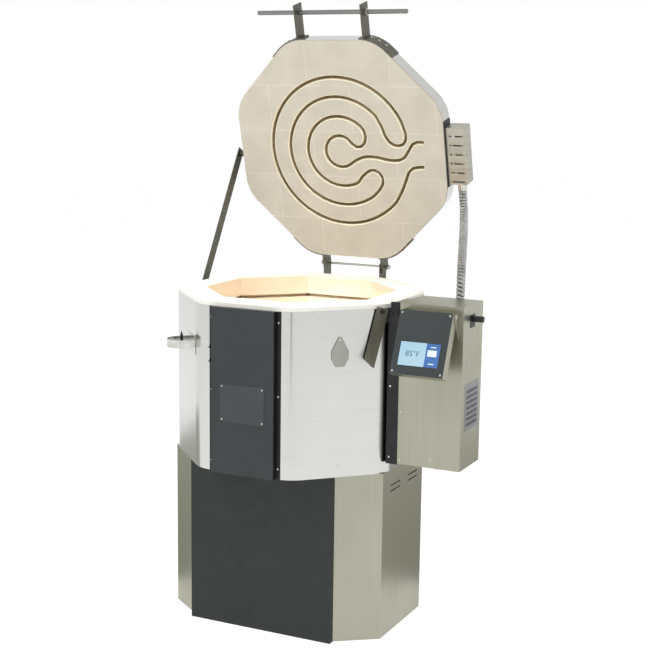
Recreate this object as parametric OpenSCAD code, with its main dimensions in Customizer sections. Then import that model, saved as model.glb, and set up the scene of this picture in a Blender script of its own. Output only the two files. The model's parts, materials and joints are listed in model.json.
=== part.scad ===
// Front-standing octagonal top-loading kiln on a sheet metal stand, lid standing open.
// Millimetres. Origin: floor level, on the vertical axis of the chamber. +Z up, front is -Y.

/* [Stand] */
// Height from the floor to the underside of the kiln body
stand_height = 545; // [400:1:700]
// How far the stand's sides stand in from the flats of the jacket
stand_inset = 4; // [2:0.5:30]
// Depth of the stand from front to back
stand_depth = 546; // [520:1:640]
// Length of the corner chamfers along the width
stand_chamfer_x = 155; // [130:1:170]
// Length of the corner chamfers along the depth
stand_chamfer_y = 111; // [80:1:130]
// Sheet thickness of the side wraps and of the back panel
stand_sheet = 1.5; // [1:0.1:3]
// Width of the flanges that the front and back panels lie on
stand_flange = 30; // [20:1:60]
// Thickness of the plate on top of the stand
top_plate = 3; // [2:0.1:6]
// Width of the top plate's border around its opening
top_plate_border = 90; // [60:1:120]
// Width of the dark front panel, which stands past the corners
front_panel_width = 508; // [470:1:520]
// Sheet thickness of the dark front panel
front_panel_sheet = 2; // [1:0.1:3]
// Length of one vent slot in the right side
vent_length = 80; // [40:1:90]
// Height of one vent slot
vent_height = 5; // [3:0.5:10]
// Distance between the two rows of vent slots
vent_pitch = 18; // [12:1:40]
// Distance from the top of the stand to the upper vent slots
vent_drop = 56; // [30:1:150]
// Distance between the centres of the two columns of vent slots
vent_spacing = 140; // [120:1:160]

/* [Firing chamber] */
// Chamber width across its flats
chamber_width = 583; // [520:1:620]
// Chamber depth from the rim to the floor brick
chamber_depth = 459; // [420:1:560]
// Thickness of the wall bricks
wall_brick = 76; // [60:1:90]
// Thickness of the floor brick
floor_brick_height = 76; // [60:1:90]
// Thickness of the fibre blanket behind the wall bricks
blanket = 12; // [8:0.5:20]
// Diameter of the element grooves in the wall
groove_d = 14; // [12:0.5:18]
// Number of element grooves in the wall
groove_count = 4; // [2:1:4]
// Depth of the first wall groove below the rim
groove_first = 68; // [50:1:80]
// Distance between the wall grooves
groove_pitch = 112; // [80:1:115]
// Thickness of the heating element band
element_size = 6; // [4:0.5:7]
// Distance between the two leads of one wall element
lead_spacing = 76; // [50:1:100]
// Bore of the peephole through the wall
peephole_bore = 19; // [12:0.5:24]

/* [Jacket] */
// Sheet thickness of the stainless jacket
jacket_sheet = 1.2; // [0.8:0.1:2]
// Outer radius of the jacket's eight corners
corner_radius = 115; // [95:1:125]
// Height of the brick rim above the jacket
rim_proud = 15; // [8:1:20]
// Thickness of the floor pan
pan_sheet = 1.2; // [0.8:0.1:3]
// Width of the strip that covers the jacket's seam at the back
seam_strip_width = 60; // [40:1:90]

/* [Front element cover] */
// Width of the raised part of the cover
cover_width = 218; // [190:1:230]
// Width of each side flange of the cover
cover_flange = 15; // [12:1:20]
// Depth of the cover in front of the jacket
cover_depth = 18; // [14:0.5:30]
// Sheet thickness of the cover
cover_sheet = 1.5; // [1:0.1:2]
// Offset of the cover to the right of the middle of the front
cover_shift = 5; // [0:1:8]
// Height of the middle of the blank plate above the jacket's lower edge
blank_plate_height = 226; // [180:1:300]
// Width of the blank plate
blank_plate_w = 154; // [100:1:170]
// Height of the blank plate
blank_plate_h = 118; // [60:1:140]

/* [Lid] */
// Angle at which the lid stands open
lid_open = 75.1; // [60:0.1:80]
// Thickness of the lid brick
lid_brick_height = 63.5; // [50:0.5:76]
// Radius of the lid's eight corners
lid_radius = 130; // [115:1:140]
// Height of the band around the lid
lid_band_height = 58; // [45:0.5:60]
// Distance of the hinge rod behind the jacket
hinge_back = 42.5; // [38:0.5:60]
// Height of the hinge rod above the rim
hinge_rise = 32; // [28:0.5:40]
// Distance of each hinge plate from the middle
hinge_plate_x = 112; // [90:1:125]
// Diameter of the hinge rod
hinge_rod_d = 8; // [6:0.5:12]
// Length of the hinge rod
hinge_rod_length = 266; // [255:1:300]
// Thickness of the handle arms and the hinge straps
strap_sheet = 4; // [3:0.5:5]
// Distance of each handle arm from the middle
handle_arm_x = 121; // [112:1:140]
// Distance of the handle bar in front of the lid
handle_reach = 84; // [60:1:120]
// Diameter of the handle bar
handle_d = 15; // [12:0.5:22]
// Length of the handle bar
handle_length = 546; // [400:1:620]
// Width of the element groove in the lid
lid_groove_w = 11; // [9:0.5:14]
// Depth of the element groove in the lid
lid_groove_depth = 12; // [9:0.5:16]
// Radius of the innermost ring of the lid's groove
ring_first = 55; // [50:1:60]
// Distance between the rings of the lid's groove
ring_pitch = 67.5; // [66:0.5:69]

/* [Lid support bar] */
// Distance from the hinge to the support bar's pivot
bar_pivot_reach = 396; // [340:1:420]
// Length of the support bar from its pivot to its lower end
bar_length = 625; // [600:1:650]
// Width of the support bar
bar_width = 32; // [20:1:36]
// Thickness of the support bar
bar_sheet = 5; // [3:0.5:6]
// Distance of the support bar from the lid's band
bar_standoff = 25; // [20:1:35]
// Lean of the support bar from the vertical while the lid is open
bar_lean = 29.5; // [20:0.1:35]

/* [Junction box on the lid] */
// Width of the junction box away from the lid
junction_w = 64; // [50:1:80]
// Length of the junction box along the lid's edge
junction_l = 194; // [150:1:200]
// Depth of the junction box
junction_d = 58; // [36:1:64]
// Outer diameter of the ribbed conduit
conduit_d = 26; // [22:0.5:28]
// Bore of the ribbed conduit
conduit_bore = 18; // [14:0.5:18]

/* [Control box] */
// Width of the control box
box_w = 206; // [190:1:240]
// Depth of the control box from front to back
box_d = 169; // [150:1:200]
// Height of the control box
box_h = 507; // [460:1:540]
// Gap between the jacket and the control box
box_standoff = 39; // [30:1:50]
// Distance of the control box's front face before the middle of the kiln
box_front = 156; // [150:1:170]
// Height of the control box's underside above the kiln body's lower edge
box_rise = 36; // [10:1:90]
// Sheet thickness of the control box
box_sheet = 1.5; // [1:0.1:2]
// Width of the controller
ctl_w = 169.5; // [150:0.5:180]
// Height of the controller's face
ctl_h = 198.5; // [180:0.5:220]
// Thickness of the controller
ctl_t = 38; // [30:0.5:40]
// Tilt of the controller from the vertical
ctl_tilt = 23.1; // [15:0.1:30]
// Diameter of the power switch knob
knob_d = 20; // [14:0.5:26]
// Bore of the cable gland for the supply
gland_bore = 14; // [8:0.5:18]

/* [Fits and fasteners] */
// Gap between parts that are seated on each other's curved faces
seat_gap = 0.3; // [0.25:0.05:0.4]
// Radial clearance of a pin in its bore
pin_fit = 0.05; // [0.03:0.01:0.09]
// Half of the joint between two wall bricks
brick_joint = 0.15; // [0.1:0.05:0.5]
// Gap between the closed lid and the rim
lid_gap = 0.5; // [0.4:0.1:1]
// Diameter of the small sheet metal screws' heads
screw_head_d = 8; // [6:0.5:9]
// Diameter of the small sheet metal screws' shanks
screw_d = 3.5; // [3:0.1:4]

/* [Hidden] */
$fn = 48;

// The octagon's faces are numbered 0 to 7 anticlockwise from the right-hand one at +X.
RIGHT = 0;
RIGHT_BACK = 1;
BACK = 2;
LEFT_BACK = 3;
LEFT = 4;
LEFT_FRONT = 5;
FRONT = 6;
RIGHT_FRONT = 7;
eps = 0.01;
corner_step = 3.75;
through = 5;

// Octagon sizes from the inside to the outside
chamber_a = chamber_width / 2;
brick_a = chamber_a + wall_brick;
blanket_a = brick_a + seat_gap + blanket;
body_a = blanket_a + seat_gap + jacket_sheet;
stand_width = 2 * (body_a - stand_inset);
screw_reach = jacket_sheet + seat_gap / 2; // shank of a jacket screw, short of the blanket

// Heights
pan_top = stand_height + pan_sheet;
floor_top = pan_top + floor_brick_height;
rim_z = floor_top + chamber_depth;
jacket_top = rim_z - rim_proud;
jacket_h = jacket_top - stand_height;

// Lid and hinge. In the lid's own frame the hinge is the origin and the front of the lid is -Y.
hinge_y = body_a + hinge_back;
hinge_z = rim_z + hinge_rise;
lid_face_z = lid_gap - hinge_rise;
lid_a = body_a - 0.3;
lid_center_y = -hinge_y;
band_sheet = 1.2;
band_z = lid_face_z + 2.5;
band_out = lid_a + band_sheet;
strap_z = band_z + 1;
strap_w = lid_band_height - 2;
strap_out = band_out + seat_gap;
strap_tail = 30;
handle_y = lid_center_y - band_out - handle_reach;
handle_z = lid_face_z + 35;

// Places on the front cover, relative to the middle of the front face
cover_out = body_a + seat_gap;
cover_x0 = cover_shift - cover_width / 2;
cover_x1 = cover_shift + cover_width / 2;
cover_h = jacket_h;
cover_screw_rows = [34, 260, cover_h - 34];
cover_screw_xs = [cover_x0 - cover_flange / 2, cover_x1 + cover_flange / 2];

// Control box edges
box_bottom = stand_height + box_rise;
box_x0 = body_a + seat_gap + box_standoff;
box_x1 = box_x0 + box_w;
box_y0 = -box_front;
box_y1 = box_y0 + box_d;
box_z1 = box_bottom + box_h;
channel_sheet = 2;

// Peephole, its cover and the vent prop on the right-hand front face
peephole_z = rim_z - 161;
peephole_s = 3;
cover_pivot_z = peephole_z + 57;
prop_s = 135;
prop_pivot_z = jacket_top - 8;
prop_lean = 14;
bracket_out = body_a + seat_gap;
bracket_sheet = 3;
prop_bracket_h = 44;
prop_bolt_d = 8;
prop_spacer = 2.4;
prop_sheet = 3;
prop_w = 39;
prop_length = 176;
prop_slant = 24;
prop_end = 12;

// Support bar pivot and guide
bar_pivot = [-bar_pivot_reach, -5];
bar_x = -(band_out + bar_standoff + bar_sheet / 2);
bar_pivot_open = [
  hinge_y + bar_pivot[0] * cos(lid_open) + bar_pivot[1] * sin(lid_open),
  hinge_z - bar_pivot[0] * sin(lid_open) + bar_pivot[1] * cos(lid_open)
];
guide_y = hinge_y - bar_pivot_reach;
guide_z = bar_pivot_open[1] - (bar_pivot_open[0] - guide_y) / tan(bar_lean);

// Controller: its pivot is the origin of its own frame, the face looks along -Y
ctl_x0 = box_x0 + 19.5;
ctl_pivot_below = 6;
ctl_pivot_behind = 20;
ctl_pivot = [ctl_x0 + ctl_w / 2, box_y0 - 28, box_z1 - 26];
ctl_pin_d = 6;

// Junction box in the lid's frame
junction_plate = 3;
junction_shift = 5.5;
junction_x0 = band_out + seat_gap + junction_plate;
junction_y0 = lid_center_y - junction_l / 2 + junction_shift;
junction_z0 = lid_face_z + 8;
junction_slot = [45, 4];
junction_slot_x = junction_x0 + 11;
junction_slot_ys = [for (i = [0:5]) junction_y0 + 29 + i * 31];
conduit_lid = [junction_x0 + 38, junction_y0 + junction_l, junction_z0 + 22];
connector_l = 25;

// Colours, as the photograph shows them
STEEL = [0.86, 0.86, 0.85];
SATIN = [0.70, 0.69, 0.63];
CHARCOAL = [0.27, 0.29, 0.30];
OLIVE = [0.41, 0.40, 0.36];
BLACK = [0.08, 0.08, 0.08];
BRICK = [0.95, 0.86, 0.72];
LID_BRICK = [0.85, 0.81, 0.74];
FIBRE = [0.96, 0.95, 0.92];
ELEMENT = [0.38, 0.33, 0.24];
CHROME = [0.80, 0.80, 0.78];

// Corner radius of an octagon that is concentric with the jacket's corners
function radius_at(apothem) = corner_radius - (body_a - apothem);

// Centre of a rounded corner; corner k lies between faces k and k + 1
function corner_center(apothem, radius, k) =
  (apothem - radius) / cos(22.5) * [cos(45 * k + 22.5), sin(45 * k + 22.5)];

// Point at a distance out from the right-hand front face and along it
function on_right_front(out, along) =
  out * [cos(45), -sin(45)] + along * [cos(45), sin(45)];

// Point at a distance out from the right-hand back face and along it
function on_right_back(out, along) =
  out * [cos(45), sin(45)] + along * [-cos(45), sin(45)];

// Half the length of the flat part of a face
function half_flat(apothem, radius) = (apothem - radius) * tan(22.5);

// Points of an arc about the origin
function arc(radius, from, to, steps) =
  [for (i = [0:steps]) let (a = from + (to - from) * i / steps) [radius * cos(a), radius * sin(a)]];

// Points round corner k, from face k to face k + 1
function corner_points(apothem, radius, k, from = 0, to = 45) = let (
  c = corner_center(apothem, radius, k)
) [for (p = arc(radius, 45 * k + from, 45 * k + to, ceil((to - from) / corner_step))) c + p];

// Points of the octagon's outline from the first to the last named corner
function octagon_points(apothem, radius, first, last) =
  [for (k = [first:last]) each corner_points(apothem, radius, k)];

function backwards(list) = [for (i = [len(list) - 1:-1:0]) list[i]];

// Solid octagon with rounded corners
module octagon_slab(apothem, radius, height) {
  linear_extrude(height) polygon(octagon_points(apothem, radius, 0, 7));
}

// Octagon shell of one thickness
module octagon_shell(apothem, thickness, radius, height) {
  linear_extrude(height)
    difference() {
      polygon(octagon_points(apothem, radius, 0, 7));
      polygon(octagon_points(apothem - thickness, radius - thickness, 0, 7));
    }
}

// Puts children on face k, their +Z pointing out of the face
module on_face(k, along, z, out) {
  rotate(45 * k)
    translate([out, along, z])
      rotate([0, 90, 0])
        children();
}

// Pan head screw whose head rests on the plane z = 0
module screw(head_d = screw_head_d, length = 3) {
  cylinder(d1 = head_d, d2 = head_d * 0.55, h = head_d * 0.3);
  translate([0, 0, -length])
    cylinder(d = screw_d, h = length + eps);
}

// Clearance hole for a screw, from the plane z = 0 downwards
module screw_hole(depth = through) {
  translate([0, 0, -depth])
    cylinder(d = screw_d + 2 * seat_gap, h = 2 * depth);
}

// Moves children from the lid's frame to the open lid
module in_lid() {
  translate([0, hinge_y, hinge_z])
    rotate([-lid_open, 0, 0])
      children();
}

// Moves children from the controller's frame to its tilted place
module in_controller() {
  translate(ctl_pivot)
    rotate([-ctl_tilt, 0, 0])
      children();
}

// STAND

// Outline of the right half of the stand, with a flange at each end
function stand_side(offset) = let (
  x = stand_width / 2 - offset,
  y = stand_depth / 2 - offset,
  nx = stand_width / 2 - stand_chamfer_x,
  ny = stand_depth / 2 - stand_chamfer_y,
  bend = offset * tan(atan(stand_chamfer_y / stand_chamfer_x) / 2),
  side = offset * tan(atan(stand_chamfer_x / stand_chamfer_y) / 2)
) [[nx - bend, -y], [x, side - ny], [x, ny - side], [nx - bend, y]];

module stand_wrap() {
  outer = stand_side(0);
  inner = stand_side(stand_sheet);
  flange_x = stand_width / 2 - stand_chamfer_x - stand_flange;
  outline = concat(
    [[flange_x, -stand_depth / 2]],
    outer,
    [[flange_x, stand_depth / 2], [flange_x, stand_depth / 2 - stand_sheet]],
    [inner[3], inner[2], inner[1], inner[0]],
    [[flange_x, -stand_depth / 2 + stand_sheet]]
  );
  linear_extrude(stand_height) polygon(outline);
}

module stand_left_wrap() {
  color(SATIN) mirror([1, 0, 0]) stand_wrap();
}

module stand_right_wrap() {
  color(SATIN)
    difference() {
      stand_wrap();
      for (column = [-1, 1], row = [0, 1])
        translate([
          stand_width / 2,
          column * vent_spacing / 2 + 9,
          stand_height - vent_drop - row * vent_pitch
        ])
          cube([2 * through, vent_length, vent_height], center = true);
    }
}

// Dark panel with side returns that reach back to the chamfers
module stand_front_panel() {
  half = front_panel_width / 2;
  back = -stand_depth / 2;
  past_corner = half - (stand_width / 2 - stand_chamfer_x);
  return_depth = (past_corner - front_panel_sheet) * stand_chamfer_y / stand_chamfer_x - seat_gap;
  color(CHARCOAL) {
    translate([-half, back - front_panel_sheet, 0])
      cube([front_panel_width, front_panel_sheet, stand_height - 1]);
    for (side = [-1, 1])
      translate([side * (half - front_panel_sheet / 2) - front_panel_sheet / 2, back - eps, 0])
        cube([front_panel_sheet, return_depth, stand_height - 1]);
  }
}

module stand_back_panel() {
  width = stand_width - 2 * stand_chamfer_x;
  color(SATIN)
    translate([-width / 2, stand_depth / 2, 0])
      cube([width, stand_sheet, stand_height]);
}

// Plate that carries the kiln, with an opening for air
module stand_top_plate() {
  inner = stand_side(stand_sheet);
  mirrored = [for (i = [3:-1:0]) [-inner[i][0], inner[i][1]]];
  inset = stand_side(top_plate_border);
  inset_left = [for (i = [3:-1:0]) [-inset[i][0], inset[i][1]]];
  color(SATIN)
    translate([0, 0, stand_height - top_plate])
      linear_extrude(top_plate)
        difference() {
          polygon(concat(inner, mirrored));
          polygon(concat(inset, inset_left));
        }
}

// BODY

module floor_pan() {
  a = body_a - jacket_sheet - seat_gap;
  color(STEEL)
    translate([0, 0, stand_height])
      octagon_slab(a, radius_at(a), pan_sheet);
}

module floor_brick() {
  color(BRICK)
    translate([0, 0, pan_top])
      octagon_slab(brick_a, radius_at(brick_a), floor_brick_height);
}

// One mitred wall segment for face k, with its element grooves
module wall_segment(k) {
  radius = radius_at(brick_a);
  height = rim_z - floor_top;
  inner_y = chamber_a * tan(22.5) - brick_joint;
  gap_angle = atan(brick_joint / radius);
  rotate(45 * k)
    difference() {
      linear_extrude(height)
        polygon(concat(
          [[chamber_a, -inner_y]],
          corner_points(brick_a, radius, -1, 22.5 + gap_angle, 45),
          corner_points(brick_a, radius, 0, 0, 22.5 - gap_angle),
          [[chamber_a, inner_y]]
        ));
      for (i = [0:groove_count - 1])
        translate([chamber_a + groove_d * 0.28, 0, height - groove_first - i * groove_pitch])
          rotate([90, 0, 0])
            cylinder(d = groove_d, h = 2 * chamber_a, center = true);
    }
}

module wall_bricks() {
  color(BRICK)
    difference() {
      translate([0, 0, floor_top])
        for (k = [0:7])
          wall_segment(k);
      on_face(RIGHT_FRONT, peephole_s, peephole_z, chamber_a - 20)
        cylinder(d = peephole_bore, h = wall_brick + 40);
      on_face(RIGHT, thermocouple_y, thermocouple_z, chamber_a - 20)
        cylinder(d = thermocouple_d + 2 * seat_gap, h = wall_brick + 40);
      lead_holes(lead_d + 2 * seat_gap, chamber_a - 20, brick_a + 20);
    }
}

module fibre_blanket() {
  inner_z = pan_top;
  color(FIBRE)
    difference() {
      translate([0, 0, inner_z])
        octagon_shell(blanket_a, blanket, radius_at(blanket_a), rim_z - 2 - inner_z);
      on_face(RIGHT_FRONT, peephole_s, peephole_z, brick_a - 5)
        cylinder(d = peephole_bore, h = blanket + 10);
      on_face(RIGHT, thermocouple_y, thermocouple_z, brick_a - 5)
        cylinder(d = thermocouple_d + 2 * seat_gap, h = blanket + 10);
      lead_holes(lead_d + 2 * seat_gap, brick_a - 5, blanket_a + 5);
    }
}

lead_wire_d = 4;
lead_d = 6.5;
thermocouple_d = 8;
thermocouple_y = -60;
thermocouple_z = rim_z - 150;
bushing_d = 18;
groove_zs = [for (i = [0:groove_count - 1]) rim_z - groove_first - i * groove_pitch];

// Round holes for the element leads through the front wall
module lead_holes(d, from, to) {
  for (z = groove_zs, x = [-1, 1] * lead_spacing / 2)
    translate([x, -from, z])
      rotate([90, 0, 0])
        cylinder(d = d, h = to - from);
}

// Element bands in the wall grooves; each has a gap at the front and two leads to the terminals
module side_elements() {
  inner_a = chamber_a + 1;
  color(ELEMENT)
    for (z = groove_zs) {
      difference() {
        translate([0, 0, z - element_size / 2])
          rotate(22.5)
            cylinder(r = (inner_a + element_size) / cos(22.5), h = element_size, $fn = 8);
        translate([0, 0, z - element_size])
          rotate(22.5)
            cylinder(r = inner_a / cos(22.5), h = 2 * element_size, $fn = 8);
        translate([-lead_spacing / 2, -chamber_a - 30, z - element_size])
          cube([lead_spacing, 60, 2 * element_size]);
      }
      for (x = [-1, 1] * lead_spacing / 2)
        translate([x, -inner_a - element_size / 2, z])
          rotate([90, 0, 0])
            cylinder(d = lead_wire_d, h = body_a + 8 - inner_a - element_size / 2);
    }
}

// Openings in the jacket that both halves share
module jacket_openings() {
  on_face(RIGHT_FRONT, peephole_s, peephole_z, body_a - through)
    cylinder(d = peephole_bore + 6, h = 2 * through);
  on_face(RIGHT, thermocouple_y, thermocouple_z, body_a - through)
    cylinder(d = thermocouple_d + 6, h = 2 * through);
  lead_holes(bushing_d, body_a - through, body_a + through);
  cover_screw_places() screw_hole();
  jacket_screw_places() screw_hole();
}

// Half of the jacket, from the first to the last named corner, between the two seams
module jacket_half(first, last, seam) {
  radius = radius_at(body_a);
  inner = body_a - jacket_sheet;
  difference() {
    translate([0, 0, stand_height])
      linear_extrude(jacket_h)
        polygon(concat(
          [[0, seam * body_a]],
          octagon_points(body_a, radius, first, last),
          [[0, -seam * body_a], [0, -seam * inner]],
          backwards(octagon_points(inner, radius - jacket_sheet, first, last)),
          [[0, seam * inner]]
        ));
    jacket_openings();
  }
}

module jacket_left() {
  color(STEEL) jacket_half(BACK, LEFT_FRONT, 1);
}

module jacket_right() {
  color(STEEL) jacket_half(FRONT, FRONT + 3, -1);
}

module jacket_seam_strip() {
  color(STEEL)
    difference() {
      translate([-seam_strip_width / 2, body_a, stand_height])
        cube([seam_strip_width, jacket_sheet, jacket_h]);
      jacket_screw_places() screw_hole();
    }
}

// Small screws of the jacket: top edge, bottom edge, side screw and the back seam
module jacket_screw_places() {
  for (along = [-83, 5])
    on_face(RIGHT_FRONT, along, jacket_top - 6, body_a)
      children();
  on_face(RIGHT_FRONT, 2, stand_height + 35, body_a)
    children();
  on_face(RIGHT_FRONT, -51, peephole_z + 62, body_a)
    children();
  on_face(LEFT_FRONT, -40, stand_height + 12, body_a)
    children();
  for (side = [-1, 1], row = [20, jacket_h / 2, jacket_h - 20])
    on_face(BACK, side * seam_strip_width * 0.33, stand_height + row, body_a + jacket_sheet)
      children();
}

module jacket_screws() {
  color(CHROME) jacket_screw_places() screw(6, screw_reach);
}

// FRONT ELEMENT COVER

module cover_screw_places() {
  for (x = cover_screw_xs, row = cover_screw_rows)
    on_face(FRONT, x, stand_height + row, cover_out + cover_sheet)
      children();
}

module blank_plate_places() {
  for (x = [-1, 1], z = [-1, 1])
    on_face(
      FRONT,
      cover_shift + x * (blank_plate_w / 2 - 7),
      stand_height + blank_plate_height + z * (blank_plate_h / 2 - 7),
      cover_out + cover_depth + 1
    )
      children();
}

// Wedge that a louvre stands out by; closed at the top and open below
module louvre(length, height, out) {
  rotate([90, 0, 0])
    linear_extrude(length)
      polygon([[0.5, height], [0, height], [-out, 0], [-out + 1.5, 0], [0.5, height - 2]]);
}

// Hat-shaped cover with closed ends, two flanges and louvres in its left flank
module front_cover() {
  h = cover_h;
  y0 = -cover_out;
  front = -(cover_out + cover_depth);
  color(CHARCOAL)
    difference() {
      union() {
        translate([cover_x0, front, stand_height])
          cube([cover_width, cover_sheet, h]);
        for (x = [cover_x0, cover_x1 - cover_sheet])
          translate([x, front, stand_height])
            cube([cover_sheet, cover_depth, h]);
        for (z = [0, h - cover_sheet])
          translate([cover_x0, front, stand_height + z])
            cube([cover_width, cover_depth, cover_sheet]);
        translate([cover_x0 - cover_flange, y0 - cover_sheet, stand_height])
          cube([cover_flange + eps, cover_sheet, h]);
        translate([cover_x1 - eps, y0 - cover_sheet, stand_height])
          cube([cover_flange + eps, cover_sheet, h]);
        for (drop = [130, 174])
          translate([cover_x0, front + cover_depth - 3, stand_height + h - drop])
            louvre(cover_depth - 5, 24, 11);
      }
      cover_screw_places() screw_hole(3);
      blank_plate_places() screw_hole(3);
    }
}

module cover_screws() {
  color(CHROME) {
    cover_screw_places() screw(7, cover_sheet + seat_gap + screw_reach);
    blank_plate_places() screw(6, 3);
  }
}

module blank_plate() {
  color([0.33, 0.36, 0.36])
    difference() {
      translate([
        cover_shift - blank_plate_w / 2,
        -(cover_out + cover_depth + 1),
        stand_height + blank_plate_height - blank_plate_h / 2
      ])
        cube([blank_plate_w, 1, blank_plate_h]);
      blank_plate_places() screw_hole(3);
    }
}

// Ceramic bushings through the jacket, each with a threaded stud around the lead's end
module element_terminals() {
  color([0.93, 0.92, 0.88])
    difference() {
      for (z = groove_zs, x = [-1, 1] * lead_spacing / 2)
        translate([x, -(blanket_a + 0.1), z])
          rotate([90, 0, 0])
            cylinder(d = bushing_d - 2 * seat_gap, h = 9);
      lead_holes(lead_wire_d + 2 * seat_gap, blanket_a - 5, blanket_a + 20);
    }
}

// PEEPHOLE

// Teardrop outline with its pivot at the origin, hanging down the +X way of on_face
module teardrop_outline() {
  hull() {
    circle(d = 16);
    translate([48, 0]) square([24, 56], center = true);
    translate([83, 0]) square([3, 28], center = true);
  }
}

module peephole_cover() {
  color([0.66, 0.67, 0.63])
    difference() {
      on_face(RIGHT_FRONT, peephole_s, cover_pivot_z, body_a + 1)
        linear_extrude(2) teardrop_outline();
      on_face(RIGHT_FRONT, peephole_s, cover_pivot_z, body_a)
        cylinder(d = 5 + 2 * pin_fit, h = 10);
    }
}

// Rivet that the teardrop swings on, with a washer against the jacket
module peephole_rivet() {
  color(CHROME)
    on_face(RIGHT_FRONT, peephole_s, cover_pivot_z, body_a) {
      cylinder(d = 11, h = 0.7);
      cylinder(d = 5, h = 3.4);
      translate([0, 0, 3.4]) cylinder(d1 = 9, d2 = 5, h = 2);
    }
}

// Sheath through the right wall, with its ceramic block in the gap before the control box
module thermocouple() {
  block_h = box_standoff - 6;
  color([0.90, 0.88, 0.82])
    on_face(RIGHT, thermocouple_y, thermocouple_z, 0) {
      translate([0, 0, chamber_a - 35])
        cylinder(d = thermocouple_d, h = body_a + 1 - chamber_a + 35);
      translate([0, 0, body_a + seat_gap])
        cylinder(d = 30, h = block_h);
    }
}

// SIDE HANDLE on the left-hand front face

handle_s = 65;
side_handle_z = rim_z - 148;
side_handle_w = 90;
side_handle_out = 80;
side_handle_strip = 25;
side_handle_sheet = 3;
side_plate_h = 60;
side_plate_sheet = 2;

// Bent strip in a U, welded to a mounting plate
module side_handle() {
  r = side_handle_w / 2;
  straight = side_handle_out - r - side_plate_sheet;
  bend = [straight, 0];
  outer = [for (p = arc(r, -90, 90, 32)) bend + p];
  inner = [for (p = arc(r - side_handle_sheet, -90, 90, 32)) bend + p];
  start = -eps;
  color(CHROME)
    rotate(45 * LEFT_FRONT)
      translate([body_a + seat_gap, handle_s, side_handle_z]) {
        translate([0, -r - 5, -side_plate_h * 0.58])
          cube([side_plate_sheet, side_handle_w + 10, side_plate_h]);
        translate([side_plate_sheet, 0, -side_handle_strip / 2])
          linear_extrude(side_handle_strip)
            polygon(concat(
              [[start, -r]],
              outer,
              [[start, r], [start, r - side_handle_sheet]],
              backwards(inner),
              [[start, side_handle_sheet - r]]
            ));
      }
}

// Black upright hook inside the handle, on a foot that stands on the mounting plate
module side_handle_hook() {
  color(BLACK)
    rotate(45 * LEFT_FRONT)
      translate([body_a + seat_gap + side_plate_sheet, handle_s, side_handle_z]) {
        translate([0, -5, -4])
          cube([36, 10, 4]);
        translate([31, 0, -4])
          cylinder(d = 9, h = 26);
        translate([31, 0, 22])
          cylinder(d1 = 9, d2 = 1, h = 14);
      }
}

// BRACKETS BETWEEN THE JACKET AND THE CONTROL BOX

channel_x0 = body_a + seat_gap;
channel_z0 = box_bottom - 3;
channel_h = box_h + 3;
channel_leg = 34;
channel_low_h = min(box_z1, jacket_top) - channel_z0;
lid_side_room = 8;

// Channel section whose web closes the gap to the box. Its leg on the jacket and, at the back,
// the web end below the rim, out of the closed lid's way.
module channel(web_y, leg_y, jacket_leg, web_h) {
  low_h = min(web_h, channel_low_h);
  translate([channel_x0, web_y, channel_z0])
    cube([box_x0 - channel_x0, channel_sheet, low_h]);
  translate([channel_x0 + lid_side_room, web_y, channel_z0])
    cube([box_x0 - channel_x0 - lid_side_room, channel_sheet, web_h]);
  translate([channel_x0, leg_y - (jacket_leg - channel_leg) * (leg_y < web_y ? 1 : 0), channel_z0])
    cube([channel_sheet, jacket_leg, low_h]);
  translate([box_x0 - channel_sheet, leg_y, channel_z0])
    cube([channel_sheet, channel_leg, web_h]);
}

channel_screw_zs = [channel_z0 + 22, channel_z0 + channel_h / 2 - 8];

module channel_front() {
  color(BLACK)
    difference() {
      channel(box_y0, box_y0, box_y0 + body_a * tan(22.5) + 2 * channel_leg, channel_h);
      for (z = channel_screw_zs)
        translate([channel_x0 + 11, box_y0, z])
          rotate([90, 0, 0]) screw_hole();
    }
}

module channel_rear() {
  color(BLACK)
    channel(
      box_y1 - channel_sheet, box_y1 - channel_leg, channel_leg, channel_low_h
    );
}

// Black bracket at the top of the front channel, bent round onto the right-hand front face
module prop_bracket() {
  y = box_y0 - seat_gap;
  outer = bracket_out + bracket_sheet;
  along_inner = bracket_out + y / cos(45);
  along_outer = outer + (y - bracket_sheet) / cos(45);
  color(BLACK)
    difference() {
      translate([0, 0, jacket_top - prop_bracket_h])
        linear_extrude(prop_bracket_h)
          polygon([
            on_right_front(bracket_out, prop_s - 22),
            on_right_front(bracket_out, along_inner),
            [box_x0 - 1, y],
            [box_x0 - 1, y - bracket_sheet],
            on_right_front(outer, along_outer),
            on_right_front(outer, prop_s - 22)
          ]);
      on_face(RIGHT_FRONT, prop_s, prop_pivot_z, bracket_out)
        cylinder(d = prop_bolt_d + 2 * pin_fit, h = 2 * through, center = true);
    }
}

// Strap with a slanted end that swings up to hold the lid ajar
module lid_prop() {
  out = bracket_out + bracket_sheet + prop_spacer + seat_gap;
  color(OLIVE)
    on_face(RIGHT_FRONT, prop_s, prop_pivot_z, out)
      rotate(-prop_lean)
        difference() {
          linear_extrude(prop_sheet)
            polygon([
              [-prop_end, -prop_w / 2],
              [prop_length - prop_slant, -prop_w / 2],
              [prop_length, prop_w / 2],
              [-prop_end, prop_w / 2]
            ]);
          cylinder(d = prop_bolt_d + 2 * pin_fit, h = 20, center = true);
        }
}

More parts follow.
